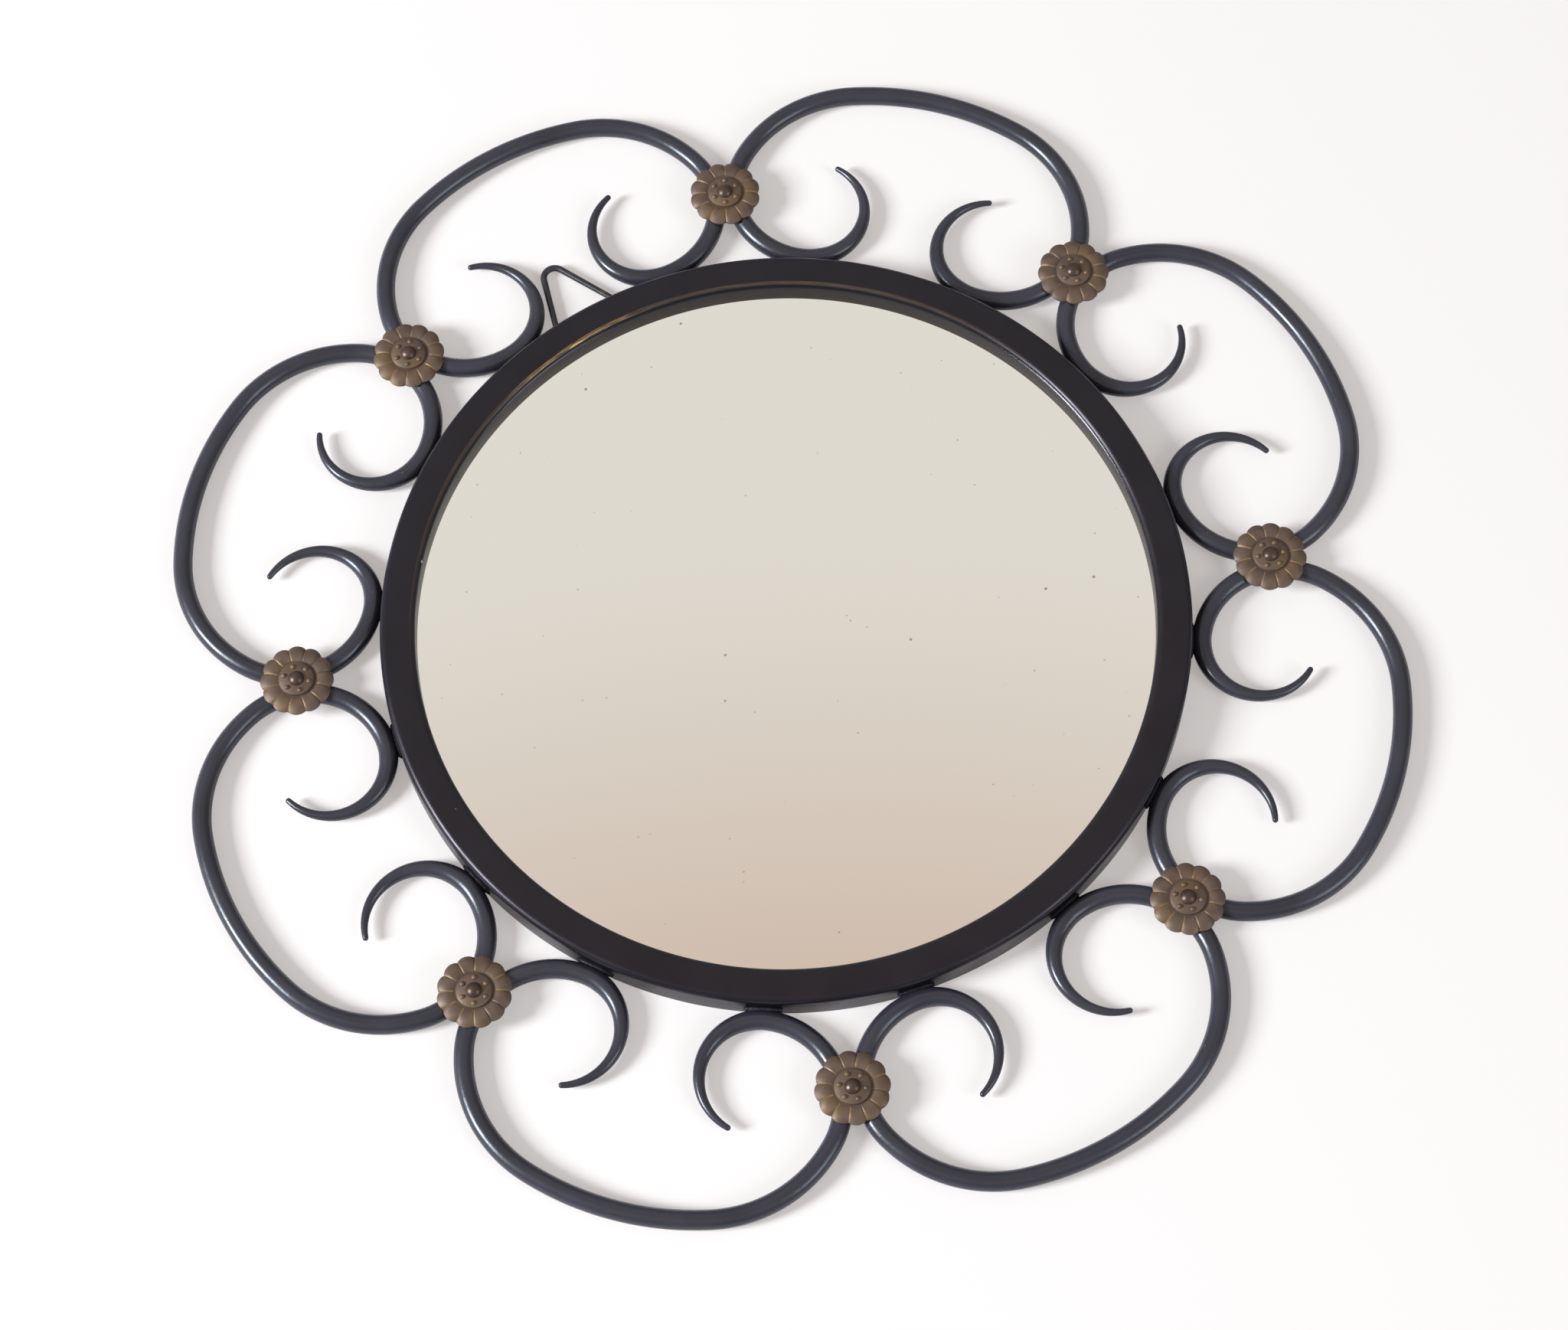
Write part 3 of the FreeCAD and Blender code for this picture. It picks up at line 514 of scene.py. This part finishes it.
def round_off(bm, section, direction, radius, rings=5):
    """Close a section with a rounded tip."""
    before = 0.0
    for ring in range(1, rings + 1):
        angle = math.pi / 2 * ring / (rings + 0.5)
        step = (math.sin(angle) - math.sin(before)) * radius
        section = run_on(bm, section, direction * step)
        resize(bm, section, math.cos(angle) / math.cos(before))
        before = angle
    bmesh.ops.edgeloop_fill(bm, edges=only_edges(section))


def turn_round(bm, profile, steps):
    """Turn a closed profile once round the Z axis."""
    bmesh.ops.spin(bm, geom=profile, cent=(0, 0, 0), axis=UP, angle=math.tau, steps=steps, use_merge=True)


def everything(bm):
    return bm.verts[:] + bm.edges[:] + bm.faces[:]


def scroll_arcs(sizes):
    """The four arcs of half a scroll, as centre, radius, first turn and last turn."""
    half_step = math.pi / sizes.petals
    kiss = (RIVET_LOW + RIVET_HIGH) / 2
    kiss.z = (BAR_LOW.z + BAR_HIGH.z) / 2
    aside = Vector((-math.cos(half_step), math.sin(half_step), 0))
    flank = kiss + aside * (sizes.flank_radius + sizes.bar_diameter / 2 + sizes.petal_gap / 2)
    curl = flank + towards(sizes.flank_turn) * (sizes.flank_radius - sizes.curl_radius)
    shoulder = flank - towards(sizes.shoulder_turn) * (sizes.shoulder_radius - sizes.flank_radius)
    softer = sizes.crown_radius - sizes.shoulder_radius
    crown_turn = math.asin(shoulder.x / softer)
    crown = shoulder - towards(crown_turn) * softer
    return (
        (crown, sizes.crown_radius, 0.0, crown_turn),
        (shoulder, sizes.shoulder_radius, crown_turn, sizes.shoulder_turn),
        (flank, sizes.flank_radius, sizes.shoulder_turn, sizes.flank_turn),
        (curl, sizes.curl_radius, sizes.flank_turn, sizes.tip_turn),
    )


def half_scroll(bm, sizes, bend_step=0.0022):
    """Bend a bar from the crown to the tip of one curl, thinner along the curl."""
    arcs = scroll_arcs(sizes)
    crown, crown_radius = arcs[0][:2]
    section = start_circle(bm, crown + Vector((0, crown_radius, 0)), sizes.bar_diameter / 2)
    for centre, radius, first, last in arcs[:3]:
        section = bend(bm, section, centre, last - first, math.ceil((last - first) * radius / bend_step))
    curl, radius, first, last = arcs[3]
    section = bend(bm, section, curl, sizes.taper_turn - first, 4)
    steps = math.ceil((last - sizes.taper_turn) * radius / bend_step)
    shrink = (sizes.bar_diameter - sizes.tip_diameter) / steps
    thick = sizes.bar_diameter
    for _ in range(steps):
        section = bend(bm, section, curl, (last - sizes.taper_turn) / steps, 1)
        resize(bm, section, (thick - shrink) / thick)
        thick -= shrink
    round_off(bm, section, towards(last + math.pi / 2), sizes.tip_diameter / 2)


class MIRROR_OT_scrolls(bpy.types.Operator):
    """Bend the bars of the petals, each with two tapered curls"""

    bl_idname = "flower_mirror.add_scrolls"
    bl_label = "Scrolls"

    def execute(self, context):
        sizes = context.scene.mirror_scrolls
        finish = bar_paint(context.scene.mirror_colours)
        for index in range(sizes.petals):
            bm = bmesh.new()
            half_scroll(bm, sizes)
            bmesh.ops.mirror(bm, geom=everything(bm), axis="X", merge_dist=WELD)
            spot = Matrix.Rotation(-index * math.tau / sizes.petals, 3, "Z")
            bmesh.ops.rotate(bm, cent=(0, 0, 0), matrix=spot, verts=bm.verts)
            add_piece(bm, f"scroll_bar_{index + 1}", f"scroll_{index + 1}", finish)
        return {"FINISHED"}


class MIRROR_OT_ring(bpy.types.Operator):
    """Turn the ring's channel section, with its front edges rounded"""

    bl_idname = "flower_mirror.add_ring"
    bl_label = "Ring"

    def execute(self, context):
        sizes = context.scene.mirror_ring
        outside, top = RING_HIGH.x, RING_HIGH.z
        mouth, seat = outside - sizes.width, GLASS_HIGH.z
        leg, lid = outside - sizes.sheet, top - sizes.sheet
        lip = mouth + sizes.sheet
        corners = ((leg, 0), (outside, 0), (outside, top), (mouth, top),
                   (mouth, seat), (lip, seat), (lip, lid), (leg, lid))
        bm = bmesh.new()
        section = bm.faces.new([bm.verts.new((x, 0, z)) for x, z in corners])
        fronts = [vert for vert in section.verts if abs(vert.co.z - top) < WELD]
        bevel = {"affect": "VERTICES", "profile": 0.5, "material": -1, "offset_type": "OFFSET"}
        bmesh.ops.bevel(bm, geom=fronts, offset=sizes.edge_radius, segments=8, **bevel)
        bm.verts.ensure_lookup_table()
        under_lid = [vert for vert in bm.verts if abs(vert.co.z - lid) < WELD]
        hollows = [vert for vert in under_lid if lip - WELD < vert.co.x < leg + WELD]
        bmesh.ops.bevel(bm, geom=hollows, offset=sizes.edge_radius - sizes.sheet, segments=4, **bevel)
        bmesh.ops.delete(bm, geom=bm.faces[:], context="FACES_ONLY")
        turn_round(bm, bm.verts[:] + bm.edges[:], ROUND_STEPS)
        add_piece(bm, "ring_channel", "frame_ring", ring_paint(context.scene.mirror_colours, sizes), 30)
        return {"FINISHED"}


class MIRROR_OT_glass(bpy.types.Operator):
    """Cut the round glass and grind its edges"""

    bl_idname = "flower_mirror.add_glass"
    bl_label = "Glass"

    def execute(self, context):
        ground = context.scene.mirror_ring.ground_edge
        bm = bmesh.new()
        sunk = Matrix.Translation((0, 0, GLASS_LOW.z))
        bmesh.ops.create_circle(bm, cap_ends=True, radius=GLASS_HIGH.x, segments=ROUND_STEPS, matrix=sunk)
        raised = bmesh.ops.extrude_face_region(bm, geom=bm.faces[:])
        lift = Vector((0, 0, GLASS_HIGH.z - GLASS_LOW.z))
        bmesh.ops.translate(bm, vec=lift, verts=only_verts(raised["geom"]))
        rims = [edge for edge in bm.edges if abs(edge.verts[0].co.z - edge.verts[1].co.z) < WELD]
        bevel = {"affect": "EDGES", "profile": 0.5, "material": -1, "offset_type": "OFFSET"}
        bmesh.ops.bevel(bm, geom=rims, offset=ground, segments=1, **bevel)
        add_piece(bm, "mirror_disc", "mirror_glass", silvered_glass(context.scene.mirror_colours), 20)
        return {"FINISHED"}


def rosette_section(sizes):
    """Half of a rosette's section, from the bore over the front and back along the hollow."""
    rim = sizes.diameter / 2
    middle, top = sizes.middle_radius, sizes.middle_height
    channel, floor = middle + sizes.channel_width, sizes.channel_height
    bore = sizes.rivet_shank / 2
    soft, edge = 0.0003, 0.0002
    front = [(bore, top), (middle - soft, top), (middle, top - soft)]
    front += [(middle + soft / 2, floor), (channel, floor)]
    steps = 12
    for step in range(1, steps + 1):
        share = step / steps
        chord = floor + (sizes.rim - floor) * share
        swell = sizes.crest - (floor + sizes.rim) / 2
        front.append((channel + (rim - channel) * share, chord + swell * 4 * share * (1 - share)))
    under = sizes.sheet
    back = [(rim, edge), (rim - edge, 0), (rim - sizes.lobe_radius / 2, 0), (channel, floor - under),
            (middle - under, floor - under), (middle - under, top - under), (bore, top - under)]
    return front + back


def rosette_bmesh(sizes):
    """Turn the section, then draw the rim into lobes with a crease between each two."""
    bm = bmesh.new()
    verts = [bm.verts.new((x, 0, z)) for x, z in rosette_section(sizes)]
    edges = [bm.edges.new((verts[i - 1], verts[i])) for i in range(len(verts))]
    turn_round(bm, verts + edges, sizes.petals * LOBE_STEPS)
    veins = bm.verts.layers.float.new("veins")
    dirt = bm.verts.layers.float.new("dirt")
    rim = sizes.diameter / 2
    lobe_centre = rim - sizes.lobe_radius
    channel = sizes.middle_radius + sizes.channel_width
    petal = math.tau / sizes.petals
    for vert in bm.verts:
        reach = vert.co.xy.length
        angle = math.atan2(vert.co.y, vert.co.x)
        off = (angle + petal / 2) % petal - petal / 2
        aside = (petal / 2 - abs(off)) * reach
        crease = math.exp(-((aside / (sizes.vein_width / 2)) ** 2))
        if reach > channel + WELD:
            side = lobe_centre * math.sin(off)
            outline = lobe_centre * math.cos(off) + math.sqrt(sizes.lobe_radius ** 2 - side ** 2)
            share = (reach - channel) / (rim - channel)
            reach_now = channel + (outline - channel) * share
            vert.co.xy *= reach_now / reach
            if vert.co.z > sizes.rim / 2:
                rounded = sizes.lobe_fall * share * (off / (petal / 2)) ** 2
                vert.co.z -= rounded + sizes.vein_depth * crease
                # The crease weight carries the painted highlight along the veins.
                vert[veins] = crease
        in_groove = sizes.middle_radius - WELD < reach < channel + WELD * 2
        vert[dirt] = 1.0 if in_groove else 0.0
    for index in range(sizes.stamens):
        angle = petal / 2 + index * math.tau / sizes.stamens
        spot = Vector((math.cos(angle), math.sin(angle), 0)) * sizes.stamen_circle + UP * sizes.middle_height
        place = Matrix.Translation(spot) @ Matrix.Diagonal((1, 1, 0.8, 1))
        ball = {"u_segments": 16, "v_segments": 10, "radius": sizes.stamen_radius}
        dot = bmesh.ops.create_uvsphere(bm, matrix=place, **ball)
        for vert in dot["verts"]:
            vert[veins] = STAMEN_RUB
    return bm


class MIRROR_OT_rosettes(bpy.types.Operator):
    """Stamp the rosettes and set each one where two scrolls touch"""

    bl_idname = "flower_mirror.add_rosettes"
    bl_label = "Rosettes"

    # How each rosette happens to be turned, in degrees.
    turns = (346.7, 1.0, 25.7, 2.1, 8.0, 346.1, 2.6, 41.4)

    def execute(self, context):
        sizes = context.scene.mirror_rosettes
        finish = aged_brass(context.scene.mirror_colours)
        for index, degrees in enumerate(self.turns):
            low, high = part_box(f"rosette_rivet_{index + 1}")
            spot = (low + high) / 2
            spot.z = ROSETTE_LOW.z
            bm = rosette_bmesh(sizes)
            turned = Matrix.Rotation(math.radians(degrees), 3, "Z")
            bmesh.ops.rotate(bm, cent=(0, 0, 0), matrix=turned, verts=bm.verts)
            bmesh.ops.translate(bm, vec=spot, verts=bm.verts)
            add_piece(bm, f"rosette_stamping_{index + 1}", f"rosette_{index + 1}", finish, 50)
        return {"FINISHED"}


class MIRROR_OT_rivets(bpy.types.Operator):
    """Set the dome-headed rivets through the rosettes"""

    bl_idname = "flower_mirror.add_rivets"
    bl_label = "Rivets"

    def execute(self, context):
        sizes = context.scene.mirror_rosettes
        finish = rivet_brass(context.scene.mirror_colours)
        for index in range(context.scene.mirror_scrolls.petals):
            low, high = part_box(f"rosette_rivet_{index + 1}")
            axis = (low + high) / 2
            head, height = (high.x - low.x) / 2, sizes.rivet_head_height
            dome = (head ** 2 + height ** 2) / (2 * height)
            seat = high.z - height
            bm = bmesh.new()
            ball = Matrix.Translation((axis.x, axis.y, high.z - dome))
            bmesh.ops.create_uvsphere(bm, u_segments=32, v_segments=40, radius=dome, matrix=ball)
            plane = {"plane_co": (0, 0, seat), "plane_no": UP, "clear_inner": True}
            cut = bmesh.ops.bisect_plane(bm, geom=everything(bm), **plane)
            bmesh.ops.edgeloop_fill(bm, edges=only_edges(cut["geom_cut"]))
            shank, tail = sizes.rivet_shank / 2, sizes.rivet_tail / 2
            middle = Matrix.Translation((axis.x, axis.y, (low.z + seat) / 2))
            rod = {"cap_ends": True, "segments": 24}
            bmesh.ops.create_cone(bm, radius1=shank, radius2=shank, depth=seat - low.z, matrix=middle, **rod)
            set_end = sizes.rivet_tail_height
            end = Matrix.Translation((axis.x, axis.y, low.z + set_end / 2))
            bmesh.ops.create_cone(bm, radius1=tail, radius2=shank, depth=set_end, matrix=end, **rod)
            add_piece(bm, f"rivet_dome_{index + 1}", f"rosette_rivet_{index + 1}", finish)
        return {"FINISHED"}


def add_bead(bm, place, along, sizes, seed):
    """A lumpy weld bead that lies along a direction."""
    size = Matrix.Diagonal((sizes.bead_length / 2, sizes.bead_width / 2, sizes.bead_height / 2, 1))
    turned = Matrix.Rotation(math.atan2(along.y, along.x), 4, "Z")
    laid = Matrix.Translation(place) @ turned @ size
    made = bmesh.ops.create_icosphere(bm, subdivisions=4, radius=1.0, matrix=laid)
    for vert in made["verts"]:
        out = vert.co - place
        ripple = math.sin(out.dot(along) * RIPPLE_RATE + seed) * RIPPLE_SHARE
        vert.co = place + out * (1 + ripple)


class MIRROR_OT_welds(bpy.types.Operator):
    """Run the weld beads between the curls and the ring"""

    bl_idname = "flower_mirror.add_welds"
    bl_label = "Welds"

    def execute(self, context):
        scrolls, sizes = context.scene.mirror_scrolls, context.scene.mirror_hanger
        finish = shaded_weld_paint(context.scene.mirror_colours)
        curl = scroll_arcs(scrolls)[3][0]
        for index in range(scrolls.petals):
            bm = bmesh.new()
            for side in (1, -1):
                angle = side * math.atan2(curl.x, curl.y) + index * math.tau / scrolls.petals
                place = towards(angle) * RING_HIGH.x + UP * curl.z
                add_bead(bm, place, towards(angle + math.pi / 2), sizes, index * 2.0 + side)
            add_piece(bm, f"curl_beads_{index + 1}", f"curl_welds_{index + 1}", finish, 80)
        return {"FINISHED"}


def hanger_bmesh(sizes):
    """Bend one leg of the V and mirror it. The foot is at the origin and the bend on +Y."""
    bm = bmesh.new()
    half, low = sizes.base / 2, sizes.rise - sizes.bend_radius
    away = math.hypot(half, low)
    opening = math.atan2(half, low)
    wrap = math.pi - math.acos(sizes.bend_radius / away) - opening
    section = start_circle(bm, Vector((0, sizes.rise, 0)), sizes.wire / 2, 16)
    section = bend(bm, section, (0, low, 0), wrap, 12)
    run = math.sqrt(away ** 2 - sizes.bend_radius ** 2) + sizes.wire
    section = run_on(bm, section, towards(wrap + math.pi / 2) * run)
    bmesh.ops.edgeloop_fill(bm, edges=only_edges(section))
    bmesh.ops.mirror(bm, geom=everything(bm), axis="X", merge_dist=WELD)
    return bm


class MIRROR_OT_hanger(bpy.types.Operator):
    """Bend the hanger's wire and weld it to the ring"""

    bl_idname = "flower_mirror.add_hanger"
    bl_label = "Hanger"

    def execute(self, context):
        sizes, colours = context.scene.mirror_hanger, context.scene.mirror_colours
        level = (HANGER_LOW.z + HANGER_HIGH.z) / 2
        foot = Vector((-sizes.shift, math.sqrt(RING_HIGH.x ** 2 - sizes.shift ** 2), level))
        place = Matrix.Translation(foot) @ Matrix.Rotation(sizes.lean, 4, "Z")
        bm = hanger_bmesh(sizes)
        bmesh.ops.transform(bm, matrix=place, verts=bm.verts)
        reach = RING_HIGH.x - FOOT_SUNK
        for vert in bm.verts:
            if vert.co.xy.length < reach:
                vert.co.xy *= reach / vert.co.xy.length
        add_piece(bm, "hanger_wire", "hanger_loop", wire_paint(colours))
        dress_node("hanger_welds", shaded_weld_paint(colours))
        return {"FINISHED"}


class MIRROR_OT_backing(bpy.types.Operator):
    """Finish the board, the card and the tabs behind the glass"""

    bl_idname = "flower_mirror.add_backing"
    bl_label = "Backing"

    def execute(self, context):
        colours = context.scene.mirror_colours
        dress_node("back_board", hardboard(colours))
        dress_node("backing_card", grey_card(colours))
        dress_node("retaining_tabs", plated_sheet(colours))
        return {"FINISHED"}


def table_finish(colours):
    """A plain pale table. A share of its white is its own, for the eye alone, so that shadows stay soft."""
    finish, tree, shader, _ = new_finish("pale_table")
    own_white = 0.35
    shader.inputs["Base Color"].default_value = (*colours.table, 1.0)
    shader.inputs["Roughness"].default_value = 0.8
    shader.inputs["Specular IOR Level"].default_value = 0.1
    glow = {"Color": (1.0, 0.96, 0.945, 1.0), "Strength": 1.0}
    white = add_node(tree, "ShaderNodeEmission", glow).outputs[0]
    rays = add_node(tree, "ShaderNodeLightPath").outputs
    share = times(tree, larger(tree, rays["Is Camera Ray"], rays["Is Glossy Ray"]), own_white)
    both = add_node(tree, "ShaderNodeMixShader", {0: share, 1: shader.outputs[0], 2: white}).outputs[0]
    tree.links.new(both, tree.nodes["Material Output"].inputs["Surface"])
    return finish


def studio_world(scene):
    """A pale room: dim towards the walls, pale overhead and warm where the ceiling is straight above."""
    world = bpy.data.worlds.new("studio")
    scene.world = world
    world.use_nodes = True
    tree = world.node_tree
    direction = add_node(tree, "ShaderNodeTexCoord").outputs["Generated"]
    height = add_node(tree, "ShaderNodeSeparateXYZ", {"Vector": direction}).outputs["Z"]
    wall, overhead, ceiling = (0.46, 0.47, 0.50), (0.795, 0.757, 0.690), (0.680, 0.550, 0.460)
    room = mixed(tree, between(tree, height, 0.55, 0.86), wall, overhead)
    overhead_share = between(tree, height, 0.905, 0.950)
    warm = add_node(tree, "ShaderNodeMath", {0: overhead_share, 1: 1.4}, operation="POWER")
    room = mixed(tree, warm.outputs["Value"], room, ceiling)
    rays = add_node(tree, "ShaderNodeLightPath").outputs
    seen = larger(tree, rays["Is Camera Ray"], rays["Is Glossy Ray"])
    back = tree.nodes["Background"]
    tree.links.new(room, back.inputs["Color"])
    unseen_strength = 0.48
    tree.links.new(between(tree, seen, 0.0, 1.0, unseen_strength, 1.0), back.inputs["Strength"])


def add_lamp(scene, name, place, aim, size, power, tint):
    """A soft rectangular lamp that points at a place."""
    data = bpy.data.lights.new(name, "AREA")
    data.shape = "RECTANGLE"
    data.size, data.size_y = size
    data.energy = power
    data.color = tint
    lamp = bpy.data.objects.new(name, data)
    lamp.location = place
    lamp.rotation_euler = (aim - place).to_track_quat("-Z", "Y").to_euler()
    scene.collection.objects.link(lamp)


class MIRROR_OT_stage(bpy.types.Operator):
    """Set up the table, the light and the camera"""

    bl_idname = "flower_mirror.add_stage"
    bl_label = "Stage"

    # The camera's axes in the object's frame, from the eight rosettes in the photograph.
    right = Vector((0.8664021, -0.49896466, -0.01953644))
    down = Vector((-0.4666499, -0.79512585, -0.38731481))
    forward = Vector((0.17772247, 0.34468704, -0.92174051))
    # Its place in radii of the rosette circle, above the plane of the rosettes, and its lens.
    stand = Vector((-1.39549, -2.68915, 6.95304))
    rosette_plane = 0.010
    lens = 85.48
    # Each lamp: its name, its turn in degrees, how far out and how high it stands, its size and its power.
    lamps = (
        ("window", 165, 3.90, 2.25, (1.2, 1.4), 319.0),
        ("panel", 300, 3.80, 2.30, (1.8, 2.0), 55.0),
    )
    daylight = (0.90, 0.95, 1.0)
    table_half = 10.0

    def execute(self, context):
        scene = context.scene
        scene.view_settings.view_transform = "Standard"
        bm = bmesh.new()
        bmesh.ops.create_grid(bm, x_segments=1, y_segments=1, size=self.table_half)
        mesh = bpy.data.meshes.new("table")
        bm.to_mesh(mesh)
        bm.free()
        mesh.materials.append(table_finish(scene.mirror_colours))
        table = bpy.data.objects.new("table", mesh)
        scene.collection.objects.link(table)

        studio_world(scene)
        for name, degrees, out, height, size, power in self.lamps:
            spot = Matrix.Rotation(math.radians(degrees), 3, "Z") @ Vector((out, 0, height))
            add_lamp(scene, name, spot, Vector((0, 0, 0)), size, power, self.daylight)

        data = bpy.data.cameras.new("camera")
        data.sensor_fit = "HORIZONTAL"
        data.sensor_width = 36.0
        data.lens = self.lens
        data.clip_end = 20.0
        camera = bpy.data.objects.new("camera", data)
        circle = ((RIVET_LOW + RIVET_HIGH) / 2).xy.length
        place = self.stand * circle + UP * self.rosette_plane
        axes = Matrix((self.right, -self.down, -self.forward)).transposed()
        camera.matrix_world = Matrix.Translation(place) @ axes.to_4x4()
        scene.collection.objects.link(camera)
        scene.camera = camera
        return {"FINISHED"}


class MIRROR_PT_panel(bpy.types.Panel):
    """Lists the steps that build the mirror"""

    bl_label = "Flower Mirror"
    bl_idname = "MIRROR_PT_panel"
    bl_space_type = "VIEW_3D"
    bl_region_type = "UI"
    bl_category = "Flower Mirror"

    def draw(self, context):
        for operator in OPERATORS:
            self.layout.operator(operator.bl_idname)
        for name, group in SETTINGS:
            settings = getattr(context.scene, name)
            box = self.layout.box()
            for key in group.__annotations__:
                box.prop(settings, key)


OPERATORS = (
    MIRROR_OT_ring,
    MIRROR_OT_glass,
    MIRROR_OT_scrolls,
    MIRROR_OT_rosettes,
    MIRROR_OT_rivets,
    MIRROR_OT_welds,
    MIRROR_OT_hanger,
    MIRROR_OT_backing,
    MIRROR_OT_stage,
)


def register():
    for name, group in SETTINGS:
        bpy.utils.register_class(group)
        setattr(bpy.types.Scene, name, PointerProperty(type=group))
    for cls in (*OPERATORS, MIRROR_PT_panel):
        bpy.utils.register_class(cls)


def unregister():
    for cls in (*OPERATORS, MIRROR_PT_panel):
        bpy.utils.unregister_class(cls)
    for name, group in SETTINGS:
        delattr(bpy.types.Scene, name)
        bpy.utils.unregister_class(group)


def main():
    register()
    for operator in OPERATORS:
        group, name = operator.bl_idname.split(".")
        getattr(getattr(bpy.ops, group), name)()
    bpy.context.view_layer.update()


if __name__ == "__main__":
    main()
